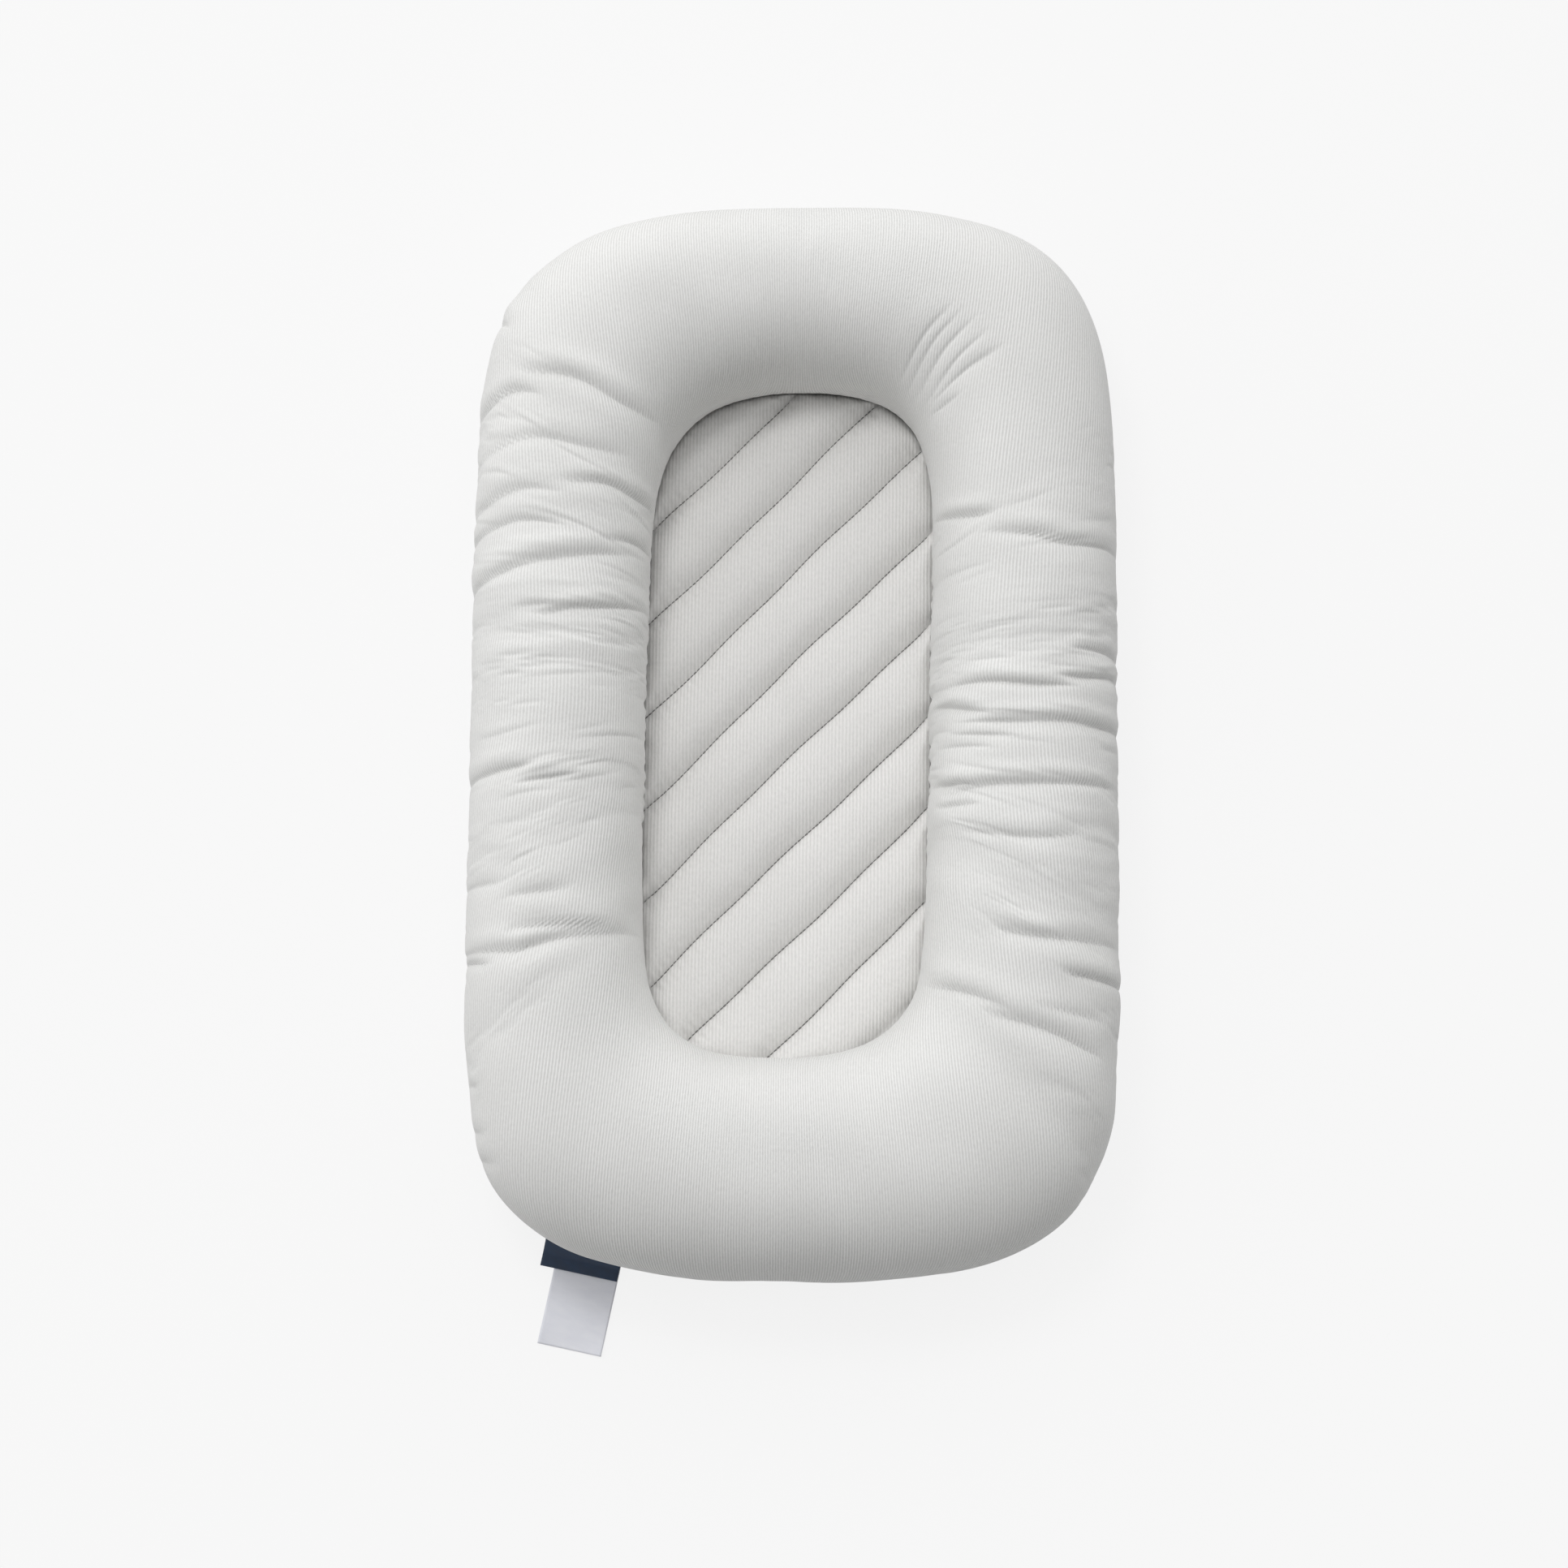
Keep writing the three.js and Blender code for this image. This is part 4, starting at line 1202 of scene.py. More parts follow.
def pad_grid(outline, channel_steps, along_steps):
    """A grid of plan places over the pad: columns follow the rows of quilting."""
    away = outline @ ACROSS_ROWS
    edges = [away.max() - GRID_MARGIN]
    edges += [row_place(row) for row in range(1, STITCH_ROWS + 1)]
    edges.append(away.min() + GRID_MARGIN)
    across = []
    even = np.arange(channel_steps) / channel_steps
    share = (1 - np.cos(math.pi * np.arange(channel_steps) / channel_steps)) / 2
    share = CROWDED_TO_ROWS * share + (1 - CROWDED_TO_ROWS) * even
    for upper, lower in zip(edges, edges[1:]):
        across.append(upper + (lower - upper) * share)
    across = np.append(np.concatenate(across), edges[-1])
    start, end = chord_ends(outline, across)
    even = np.linspace(0, 1, along_steps)
    share = even - CROWDED_TO_ENDS * np.sin(2 * math.pi * even)
    along = start[:, None] + (end - start)[:, None] * share
    return np.broadcast_to(across[:, None], along.shape), along


def edge_distance(plan, outline):
    """Distance of each place in plan from the pad's edge."""
    flat = plan.reshape(-1, 2)
    nearest = np.full(len(flat), np.inf)
    following = np.roll(outline, -1, axis=0)
    for start, end in zip(outline[::2], following[1::2]):
        line = end - start
        share = np.clip((flat - start) @ line / (line @ line), 0, 1)
        offset = flat - start - share[:, None] * line
        nearest = np.minimum(nearest, (offset**2).sum(axis=1))
    return np.sqrt(nearest).reshape(plan.shape[:-1])


def pulses(place, pitch, width, phase):
    """One at evenly repeated places and nothing between them, softly."""
    offset = (place / pitch + phase + 0.5) % 1 - 0.5
    return np.exp(-((offset * pitch / width) ** 2))


# Puckers beside the threads, and how far from a row they are deepest and die out
PUCKER_PITCH = 0.0092
PUCKER_WIDTH = 0.0024
PUCKER_DEPTH = 0.0011
PUCKER_PLACE = 0.004
PUCKER_REACH = 0.0055
ROW_TURN = 0.37
# Unevenness of the channels, puckers of the pad's edge, and how softly channel and edge meet
UNEVEN_CHANNEL = 0.0006
UNEVEN_CHANNEL_LENGTH = 0.045
EDGE_PUCKER_PITCH = 0.0125
EDGE_PUCKER_WIDTH = 0.003
EDGE_PUCKER_DEPTH = 0.0012
EDGE_PUCKER_RANGE = (-0.016, -0.002)
ROLL_BLEND = 0.0016


def pad_height(across, along, to_edge, drop=0.0, detail=1.0):
    """Height of the quilted surface: full channels between the rows, rolled down at the edge."""
    place = (row_place(0) - across) / QUILT_PITCH
    share = place - np.floor(place)
    full = CHANNEL_RISE * np.sin(math.pi * np.clip(share, 0, 1)) ** CHANNEL_FULLNESS
    from_row = np.minimum(share, 1 - share) * QUILT_PITCH
    nearest_row = np.round(place)
    phase = row_waves(along, nearest_row, PUCKER_STRAYS) + ROW_TURN * nearest_row
    puckers = pulses(along, PUCKER_PITCH, PUCKER_WIDTH, phase)
    puckers = puckers * np.exp(-(((from_row - PUCKER_PLACE) / PUCKER_REACH) ** 2))
    full -= detail * PUCKER_DEPTH * puckers
    rng = np.random.default_rng(SEEDS["pad"])
    uneven = soft_noise(np.stack([across, along], axis=-1), rng, UNEVEN_CHANNEL_LENGTH)
    full += detail * UNEVEN_CHANNEL * uneven * np.sin(math.pi * share)
    channel = STITCH_HEIGHT + full
    roll = np.sqrt(1 - (1 - np.clip(to_edge / PAD_EDGE_WIDTH, 0, 1)) ** 2)
    roll_height = PAD_EDGE_LOW + (PAD_EDGE_HIGH - PAD_EDGE_LOW) * roll
    phase = row_waves(along, 0.0, EDGE_PUCKER_STRAYS)
    edge_puckers = pulses(along, EDGE_PUCKER_PITCH, EDGE_PUCKER_WIDTH, phase)
    edge_puckers = edge_puckers * smooth_step(-to_edge, *EDGE_PUCKER_RANGE)
    roll_height -= detail * EDGE_PUCKER_DEPTH * edge_puckers
    lower = np.minimum(channel, roll_height)
    apart = np.abs(channel - roll_height)
    return lower - ROLL_BLEND * np.exp(-apart / ROLL_BLEND) / 2 - drop


def to_plan(across, along):
    share = (row_place(0) - across) / QUILT_PITCH
    strayed = across + row_waves(along, share, ROW_STRAYS)
    return strayed[..., None] * ACROSS_ROWS + along[..., None] * ALONG_ROWS


# The rows stray only away from the pad's edge, fully from this distance
STRAY_MARGIN = 0.02


def pad_surface(outline, channel_steps, along_steps, drop=0.0, detail=1.0):
    across, along = pad_grid(outline, channel_steps, along_steps)
    straight = across[..., None] * ACROSS_ROWS + along[..., None] * ALONG_ROWS
    to_edge = edge_distance(straight, outline)
    height = pad_height(across, along, to_edge, drop, detail)
    hold = smooth_step(to_edge, 0.0, STRAY_MARGIN)[..., None]
    plan = straight + (to_plan(across, along) - straight) * hold
    return np.concatenate([plan, height[..., None]], axis=2)


# Steps of each layer's grid: in a channel, and along it
FACE_STEPS = (20, 150)
WADDING_STEPS = (10, 60)
FLAT_STEPS = (6, 40)


def make_pad_face():
    surface = pad_surface(pad_outline(), *FACE_STEPS)
    piece = add_mesh("quilted_pad_face", surface, grid_faces(*surface.shape[:2]))
    set_cloth_directions(piece, surface[..., 0], surface[..., 1])
    turn_sheet(piece, 1)
    add_thickness(piece, FACE_CLOTH)
    finish_piece(piece, quilt_cloth, ["pad_face"])


def closed_slab(name, top, bottom):
    """A closed body between two grids that share their plan."""
    rows, columns = top.shape[:2]
    size = rows * columns
    faces = grid_faces(rows, columns)
    faces += [face[::-1] for face in grid_faces(rows, columns, first=size)]
    border = [(0, c) for c in range(columns)]
    border += [(r, columns - 1) for r in range(1, rows)]
    border += [(rows - 1, c) for c in range(columns - 2, -1, -1)]
    border += [(r, 0) for r in range(rows - 2, 0, -1)]
    index = [r * columns + c for r, c in border]
    for a, b in zip(index, index[1:] + index[:1]):
        faces.append((a, b, b + size, a + size))
    points = np.vstack([top.reshape(-1, 3), bottom.reshape(-1, 3)])
    return add_mesh(name, points, faces, recalculate=True)


WADDING_MARGIN = 0.0022
WADDING_DROP = 0.0026
WADDING_LEAST = 0.0004
FLAT_MARGIN = 0.0004
LAYER_UNEVEN_LENGTH = 0.05
# Bottom, top and unevenness of the flat layers
LAYER_LEVELS = {
    "pad_backing_cloth": (BACKING_BOTTOM, BACKING_TOP, 0.0001),
    "insert_base_slab": (BASE_PAD_BOTTOM, BASE_PAD_TOP, 0.0003),
}


def make_pad_layers():
    """Wadding, backing cloth and thin base pad, one on another under the face."""
    rng = np.random.default_rng(SEEDS["layers"])
    inner = pad_outline(WADDING_MARGIN)
    top = pad_surface(inner, *WADDING_STEPS, drop=WADDING_DROP, detail=0.0)
    bottom = np.array(top)
    bottom[..., 2] = WADDING_BOTTOM
    top[..., 2] = np.maximum(top[..., 2], WADDING_BOTTOM + WADDING_LEAST)
    wadding = closed_slab("pad_wadding_layer", top, bottom)
    finish_piece(wadding, white_fibre, ["pad_wadding"])

    flat = pad_surface(pad_outline(FLAT_MARGIN), *FLAT_STEPS, detail=0.0)
    made = {}
    for name, (low, high, uneven) in LAYER_LEVELS.items():
        top, bottom = np.array(flat), np.array(flat)
        for layer, level, inwards in ((top, high, -1), (bottom, low, 1)):
            share = (1 + soft_noise(flat[..., :2], rng, LAYER_UNEVEN_LENGTH)) / 2
            layer[..., 2] = level + inwards * uneven * share
        made[name] = closed_slab(name, top, bottom)
    backing, slab = made["pad_backing_cloth"], made["insert_base_slab"]
    finish_piece(backing, lining_cloth, ["pad_backing"])
    finish_piece(slab, white_fibre, ["insert_base_pad"])


# Thread stitches: they taper to their ends, which dip into the cloth by a share of the radius
QUILT_STITCH = {"length": 0.0030, "gap": 0.0005, "radius": 0.00060}
QUILT_STITCH_LIFT = 0.0009
ROW_END_MARGIN = 0.0055
ROW_POINTS = 200
STITCH_RINGS = 6
STITCH_SIDES = 6
STITCH_LOOK = 0.0004
STITCH_TAPER = 0.08
STITCH_DIP = 1.1
SHORTEST = 1e-9


def stitch_points(path, length, gap, radius, cloth_side=-1):
    """Points and faces of a row of short thread stitches along a line of points. Their ends
    go into the cloth, which is below the row, or above it for a cloth side of one."""
    steps = np.linalg.norm(np.diff(path, axis=0), axis=1)
    run = np.concatenate([[0], np.cumsum(steps)])
    count = int((run[-1] + gap) / (length + gap))
    spacing = (run[-1] + gap) / count
    share = np.linspace(0, 1, STITCH_RINGS)
    places = (spacing * np.arange(count))[:, None] + share[None] * (spacing - gap)
    centre, ahead, behind = (
        np.stack([np.interp(places + shift, run, path[:, i]) for i in range(3)], axis=2)
        for shift in (0, STITCH_LOOK, -STITCH_LOOK)
    )
    tangent = ahead - behind
    tangent /= np.maximum(np.linalg.norm(tangent, axis=2, keepdims=True), SHORTEST)
    sideways = np.cross(tangent, UPWARD)
    sideways /= np.linalg.norm(sideways, axis=2, keepdims=True)
    belly = np.sin(math.pi * np.clip(share, STITCH_TAPER, 1 - STITCH_TAPER)) ** 0.5
    dip = radius * STITCH_DIP * (1 - np.sin(math.pi * share))
    centre = centre + cloth_side * dip[None, :, None] * UPWARD
    turns = (2 * math.pi * np.arange(STITCH_SIDES) / STITCH_SIDES)[None, None, :, None]
    ring = sideways[:, :, None] * np.cos(turns) + UPWARD * np.sin(turns)
    points = centre[:, :, None] + ring * (radius * belly)[None, :, None, None]
    faces = []
    last = (STITCH_RINGS - 1) * STITCH_SIDES
    for first in range(0, count * STITCH_RINGS * STITCH_SIDES, STITCH_RINGS * STITCH_SIDES):
        faces += grid_faces(STITCH_RINGS, STITCH_SIDES, closed_columns=True, first=first)
        faces.append([first + side for side in reversed(range(STITCH_SIDES))])
        faces.append([first + last + side for side in range(STITCH_SIDES)])
    return points.reshape(-1, 3), faces


def make_quilt_stitches():
    """One row of stitches along the bottom of each valley between the channels."""
    outline = pad_outline()
    for row in range(1, STITCH_ROWS + 1):
        start, end = chord_ends(outline, np.array([row_place(row)]))
        along = np.linspace(start[0] + ROW_END_MARGIN, end[0] - ROW_END_MARGIN, ROW_POINTS)
        plan = to_plan(np.full(ROW_POINTS, row_place(row)), along)
        height = np.full(ROW_POINTS, STITCH_HEIGHT + QUILT_STITCH_LIFT)
        points, faces = stitch_points(np.column_stack([plan, height]), **QUILT_STITCH)
        piece = add_mesh(f"quilt_thread_{row}", points, faces, recalculate=True)
        # The thread's grey is partly painted shade of the valley it sits in.
        finish_piece(piece, seam_thread, [f"quilt_stitch_{row}"])


# Insert inside the bolster

# Distances from the zip's middle, along and across, over which the insert rises clear of it
ZIP_RISE_ALONG = (-0.034, -0.020)
ZIP_RISE_ACROSS = (-0.176, -0.162)
CASING_OVER_ZIP = 0.0145
FIBRE_OVER_ZIP = 0.0160
INSERT_STATIONS = 360
CASING_ROWS = 30
CASING_LAP = 0.03
FIBRE_ROWS = 48
FIBRE_UNEVEN = 0.0006
FIBRE_UNEVEN_LENGTH = 0.03


def lift_over_zip(points, level):
    """Raises what lies over the zip clear of it."""
    away = np.abs(points[..., 1] - ZIP_PLACE)
    beside = np.abs(points[..., 0])
    share = smooth_step(-away, *ZIP_RISE_ALONG) * smooth_step(-beside, *ZIP_RISE_ACROSS)
    under = points[..., 2] < EQUATOR_HEIGHT
    raised = np.maximum(points[..., 2], level * share)
    points[..., 2] = np.where(under, raised, points[..., 2])
    return points


def make_insert_tube():
    """Lining cloths above and below, and the fibre that fills them."""
    stations = even_stations(INSERT_STATIONS)
    top = even_angles(0, math.pi, CASING_ROWS)
    bottom = even_angles(math.pi + CASING_LAP, 2 * math.pi - CASING_LAP, CASING_ROWS)
    halves = {
        "insert_lining_top": (top, "insert_casing_top", LINING_TOP_CUT),
        "insert_lining_bottom": (bottom, "insert_casing_bottom", LINING_BOTTOM_CUT),
    }
    for name, (angles, node, cut) in halves.items():
        points = lift_over_zip(ring_points(stations, angles, CASING_INSET), CASING_OVER_ZIP)
        faces = grid_faces(CASING_ROWS, INSERT_STATIONS, closed_columns=True)
        piece = add_mesh(name, points, faces)
        add_thickness(piece, CASING_CLOTH, offset=0.0)
        finish_piece(piece, lining_cloth, [node])

    rng = np.random.default_rng(SEEDS["fibre"])
    around = even_angles(0, 2 * math.pi, FIBRE_ROWS + 1)[:-1]
    points = lift_over_zip(ring_points(stations, around, FIBRE_INSET), FIBRE_OVER_ZIP)
    uneven = FIBRE_UNEVEN * (1 + soft_noise(points, rng, FIBRE_UNEVEN_LENGTH))
    points = points - ring_normals(points) * uneven[..., None]
    faces = closed_tube_faces(FIBRE_ROWS, INSERT_STATIONS)
    core = add_mesh("fibre_core", points, faces, recalculate=True)
    finish_piece(core, white_fibre, ["fibre_filling"])


# Underside of the cover

# The rim of the underside turns in under the bolster, down to this angle of its section
RIM_END_ANGLE = math.radians(-75)
RIM_LOOPS = 9
FLAT_LOOPS = 24
# Ripples: height, length, how far from the zip they are stronger, and highest place for them
RIPPLE_HEIGHT = 0.0004
RIPPLE_LENGTH = 0.07
RIPPLE_BY_ZIP = 0.05
RIPPLE_CEILING = 0.0005
# Gap at the zip's line, width of the strip beside each cut, and how deep the slot cuts
PANEL_GAP = 0.00015
CUT_EDGE_WIDTH = 0.0009
SLOT_DEPTH = 0.008
SAME_PLACE = 0.00001


def base_surface(stations):
    """Loops of the underside, from the outer seam round its rim and in to the middle."""
    rim_start = angle_at_height(OUTER_SEAM_HEIGHT - 2 * BINDING_DROP)
    rim = ring_points(stations, even_angles(rim_start, RIM_END_ANGLE, RIM_LOOPS), 0.0)
    rim[-1, :, 2] = 0.0
    inner = rim[-1, :, :2]
    share = 1 - (np.arange(1, FLAT_LOOPS + 1) / FLAT_LOOPS)[:, None, None]
    middle = np.array([0.0, BAY_SHIFT / 2])
    plan = middle + (inner - middle)[None] * share
    flat = np.concatenate([plan, np.zeros(plan.shape[:2] + (1,))], axis=2)
    return np.concatenate([rim, flat])


def base_ripples(points):
    """The panel lifts off the floor a little between its seams, most of all beside the zip."""
    rng = np.random.default_rng(SEEDS["underside"])
    ripple = np.clip(soft_noise(points[..., :2], rng, RIPPLE_LENGTH), 0, 1)
    near_zip = np.exp(-(((points[..., 1] - ZIP_PLACE) / RIPPLE_BY_ZIP) ** 2))
    lift = RIPPLE_HEIGHT * ripple * (0.5 + near_zip)
    points[..., 2] += lift * (points[..., 2] < RIPPLE_CEILING)
    return points


def make_base_panels():
    points = base_ripples(base_surface(even_stations(INSERT_STATIONS)))
    faces = grid_faces(*points.shape[:2], closed_columns=True)
    cuts = {"head": (1, UNDERSIDE_HEAD_CUT), "foot": (-1, UNDERSIDE_FOOT_CUT)}
    for side, (sign, cut) in cuts.items():
        piece = add_mesh(f"underside_{side}", points, faces)
        cut_base(piece, sign)
        turn_sheet(piece, -1)
        places = read_places(piece.data)
        set_cloth_directions(piece, places[:, 0], places[:, 1])
        add_thickness(piece, COVER_CLOTH)
        finish_piece(piece, quilt_cloth, [f"base_panel_{side}"])


def cut_base(piece, sign):
    """Keeps the panel's part on one side of the zip and cuts out the zip's slot."""
    editable = bmesh.new()
    editable.from_mesh(piece.data)
    bmesh.ops.remove_doubles(editable, verts=editable.verts[:], dist=SAME_PLACE)
    across, along = (1, 0, 0), (0, 1, 0)
    for beyond in (0, CUT_EDGE_WIDTH):
        planes = [
            ((0, ZIP_PLACE + sign * (PANEL_GAP + beyond), 0), along),
            ((0, ZIP_PLACE + sign * (SLOT_HALF_WIDTH + beyond), 0), along),
            ((SLOT_HALF_LENGTH + beyond, 0, 0), across),
            ((-SLOT_HALF_LENGTH - beyond, 0, 0), across),
        ]
        for place, normal in planes:
            bmesh.ops.bisect_plane(
                editable,
                geom=editable.verts[:] + editable.edges[:] + editable.faces[:],
                plane_co=place,
                plane_no=normal,
                dist=SAME_PLACE,
            )
    gone = []
    for face in editable.faces:
        centre = face.calc_center_median()
        away = sign * (centre.y - ZIP_PLACE)
        in_slot = away < SLOT_HALF_WIDTH and abs(centre.x) < SLOT_HALF_LENGTH
        if away < 0 or (in_slot and centre.z < SLOT_DEPTH):
            gone.append(face)
    bmesh.ops.delete(editable, geom=gone, context="FACES")
    editable.to_mesh(piece.data)
    editable.free()
    piece.data.polygons.foreach_set("use_smooth", [True] * len(piece.data.polygons))


# Zip

STRIP_STEPS = 120
STRIP_UNEVEN_LENGTH = 0.03
FACING = {"thickness": 0.0009, "uneven": 0.00008, "seed": SEEDS["facing"]}
TAPE = {"thickness": 0.0006, "uneven": 0.00004, "seed": SEEDS["tape"]}
TAPE_EDGES = (0.0034, 0.0139)
TAPE_HEIGHT = 0.0085
TAPE_POINTS = 8
TOPSTITCH = {"length": 0.0026, "gap": 0.0007, "radius": 0.0003}
TOPSTITCH_HALF_LENGTH = 0.148
TOPSTITCH_AWAY = 0.0092
TOPSTITCH_HEIGHT = 0.00655
TOPSTITCH_POINTS = 160
# Folds of the slot's long sides and of its ends: distance from its middle, and height.
# A facing bends up out of the slot's edge and then runs level towards the zip.
FACING_BEND = [(0.0176, 0.0006), (0.0162, 0.0030), (0.0147, 0.0058), (0.0130, 0.0072)]
FACING_FOLD = FACING_BEND + [(0.0065, 0.0073)]
FACING_POINTS = 18
END_FOLD = [
    (0.1556, 0.0006),
    (0.1546, 0.0022),
    (0.1531, 0.0050),
    (0.1516, 0.0068),
    (0.1508, 0.0074),
]
END_POINTS = 12
END_COLUMNS = 16
FOLD_POINTS = 40


def sheet_piece(name, grid, thickness, material, node):
    """A cloth of its own thickness over a grid of points, with its outside down."""
    piece = add_mesh(name, grid, grid_faces(*grid.shape[:2]))
    turn_sheet(piece, -1)
    set_cloth_directions(piece, grid[..., 0], grid[..., 1])
    add_thickness(piece, thickness, offset=0.0)
    finish_piece(piece, material, [node])


def swept_strip(profile, start, end, uneven, seed):
    """Points of a profile in Y and Z run along X, with its line slightly uneven."""
    along = np.linspace(0, 1, STRIP_STEPS)
    start, end = np.reshape(start, (-1, 1)), np.reshape(end, (-1, 1))
    grid = np.zeros((len(profile), STRIP_STEPS, 3))
    grid[..., 0] = start + (end - start) * along
    grid[..., 1] = ZIP_PLACE + profile[:, :1]
    noise = soft_noise(grid[..., :2], np.random.default_rng(seed), STRIP_UNEVEN_LENGTH)
    grid[..., 2] = profile[:, 1:] + uneven * noise
    return grid


def fold_reach(fold, height):
    """How far from the slot's middle a fold is at each height."""
    line = smooth_curve(fold, FOLD_POINTS)
    return np.interp(height, line[:, 1], line[:, 0])


def make_facing(side, sign):
    """One facing, folded into the slot and cut back where the slot's end folds in."""
    profile = smooth_curve(FACING_FOLD, FACING_POINTS) * (sign, 1)
    reach = fold_reach(END_FOLD, profile[:, 1])
    grid = swept_strip(profile, -reach, reach, FACING["uneven"], FACING["seed"])
    name, node = f"zip_facing_cloth_{side}", f"zip_facing_{side}"
    sheet_piece(name, grid, FACING["thickness"], quilt_cloth, node)


def make_tape(side, sign):
    profile = np.full((TAPE_POINTS, 2), TAPE_HEIGHT)
    profile[:, 0] = sign * np.linspace(*TAPE_EDGES, TAPE_POINTS)
    grid = swept_strip(profile, -ZIP_HALF_LENGTH, ZIP_HALF_LENGTH, TAPE["uneven"], TAPE["seed"])
    name, node = f"zip_tape_cloth_{side}", f"zip_tape_{side}"
    sheet_piece(name, grid, TAPE["thickness"], zip_tape, node)


def make_topstitch(side, sign):
    """The stitches that show under a facing and hold the tape to it."""
    path = np.full((TOPSTITCH_POINTS, 3), TOPSTITCH_HEIGHT)
    path[:, 0] = np.linspace(-TOPSTITCH_HALF_LENGTH, TOPSTITCH_HALF_LENGTH, TOPSTITCH_POINTS)
    path[:, 1] = ZIP_PLACE + sign * TOPSTITCH_AWAY
    points, faces = stitch_points(path, **TOPSTITCH, cloth_side=1)
    piece = add_mesh(f"zip_topstitch_{side}", points, faces, recalculate=True)
    finish_piece(piece, pale_thread)


def make_end_tab(side, sign):
    """The cloth at one end of the slot, as wide at each height as the facings leave it."""
    line = smooth_curve(END_FOLD, END_POINTS)
    half_width = fold_reach(FACING_BEND, line[:, 1:])
    grid = np.zeros((END_POINTS, END_COLUMNS, 3))
    grid[..., 0] = sign * line[:, :1]
    grid[..., 1] = ZIP_PLACE + half_width * np.linspace(-1, 1, END_COLUMNS)
    grid[..., 2] = line[:, 1:]
    name, node = f"zip_end_cloth_{side}", f"zip_end_tab_{side}"
    sheet_piece(name, grid, FACING["thickness"], quilt_cloth, node)


def make_zip_cloth():
    """Facings folded into the slot, the two tapes and the tabs at the slot's ends."""
    for side, sign in (("head", 1), ("foot", -1)):
        make_facing(side, sign)
        make_tape(side, sign)
        make_topstitch(side, sign)
    for side, sign in (("left", -1), ("right", 1)):
        make_end_tab(side, sign)


COIL_PITCH = 0.0015
COIL_SIDE = 0.0018
COIL_RADII = (0.00095, 0.00082)
COIL_WIRE = 0.00027
COIL_STEPS = 10
WIRE_SIDES = 5


def make_zip_coils():
    """Each coil is one wound filament, the two set half a turn apart."""
    turns = int((COIL_END - COIL_START) / COIL_PITCH)
    count = turns * COIL_STEPS
    turn = 2 * math.pi * np.arange(WIRE_SIDES) / WIRE_SIDES
    faces = grid_faces(count, WIRE_SIDES, closed_columns=True)
    faces.append(list(range(WIRE_SIDES)))
    faces.append([(count - 1) * WIRE_SIDES + k for k in reversed(range(WIRE_SIDES))])
    for side, sign in (("head", 1), ("foot", -1)):
        angle = 2 * math.pi * np.arange(count) / COIL_STEPS + (math.pi if sign > 0 else 0)
        x = np.linspace(COIL_START + COIL_WIRE, COIL_END - COIL_WIRE, count)
        y = ZIP_PLACE + sign * COIL_SIDE + COIL_RADII[0] * np.cos(angle)
        z = COIL_HEIGHT + COIL_RADII[1] * np.sin(angle)
        centre = np.column_stack([x, y, z])
        tangent = np.gradient(centre, axis=0)
        tangent /= np.linalg.norm(tangent, axis=1, keepdims=True)
        outward = np.column_stack([np.zeros(count), np.cos(angle), np.sin(angle)])
        cross = np.cross(tangent, outward)
        rings = (
            centre[:, None]
            + COIL_WIRE * np.cos(turn)[None, :, None] * outward[:, None]
            + COIL_WIRE * np.sin(turn)[None, :, None] * cross[:, None]
        )
        piece = add_mesh(f"zip_wound_coil_{side}", rings, faces, recalculate=True)
        finish_piece(piece, zip_nylon, [f"zip_coil_{side}"])


CORNER_STEPS = 5
BEVEL_STEPS = 2
HARD_EDGE = math.radians(35)


def rounded_outline(x_places, half_widths, corner):
    """Corners of a plate that tapers from one half width to another, rounded."""
    (x0, x1), (w0, w1) = x_places, half_widths
    corners = [(x0, -w0), (x1, -w1), (x1, w1), (x0, w0)]
    points = []
    for i, place in enumerate(corners):
        place = np.array(place)
        before = np.array(corners[i - 1]) - place
        after = np.array(corners[(i + 1) % 4]) - place
        start = place + before / np.linalg.norm(before) * corner
        end = place + after / np.linalg.norm(after) * corner
        for t in np.linspace(0, 1, CORNER_STEPS):
            points.append((1 - t) ** 2 * start + 2 * t * (1 - t) * place + t**2 * end)
    return points


def plate(outlines, levels, bevel):
    """A flat plate with rounded edges: the first outline is its edge, the others are holes."""
    low, high = levels
    curve = bpy.data.curves.new("plate_outline", "CURVE")
    curve.dimensions = "2D"
    curve.fill_mode = "BOTH"
    for outline in outlines:
        spline = curve.splines.new("POLY")
        spline.points.add(len(outline) - 1)
        for point, (x, y) in zip(spline.points, outline):
            point.co = (x, y, 0, 1)
        spline.use_cyclic_u = True
    curve.extrude = (high - low) / 2 - bevel
    curve.bevel_depth = bevel
    curve.bevel_resolution = BEVEL_STEPS
    curve.offset = -bevel
    holder = link_object("plate_outline", curve)
    bpy.context.view_layer.update()
    shaped = holder.evaluated_get(bpy.context.evaluated_depsgraph_get())
    mesh = bpy.data.meshes.new_from_object(shaped)
    bpy.data.objects.remove(holder)
    places = read_places(mesh)
    places[:, 2] += (low + high) / 2
    mesh.vertices.foreach_set("co", places.ravel())
    mesh.update()
    return mesh


def join_meshes(name, meshes, place):
    """One object from several meshes, moved to its place."""
    editable = bmesh.new()
    for mesh in meshes:
        editable.from_mesh(mesh)
    bmesh.ops.remove_doubles(editable, verts=editable.verts[:], dist=SAME_PLACE / 2)
    bmesh.ops.translate(editable, verts=editable.verts[:], vec=place)
    mesh = bpy.data.meshes.new(name)
    editable.to_mesh(mesh)
    editable.free()
    mesh.polygons.foreach_set("use_smooth", [True] * len(mesh.polygons))
    mesh.update()
    piece = link_object(name, mesh)
    split = piece.modifiers.new("edges", "EDGE_SPLIT")
    split.split_angle = HARD_EDGE
    return piece


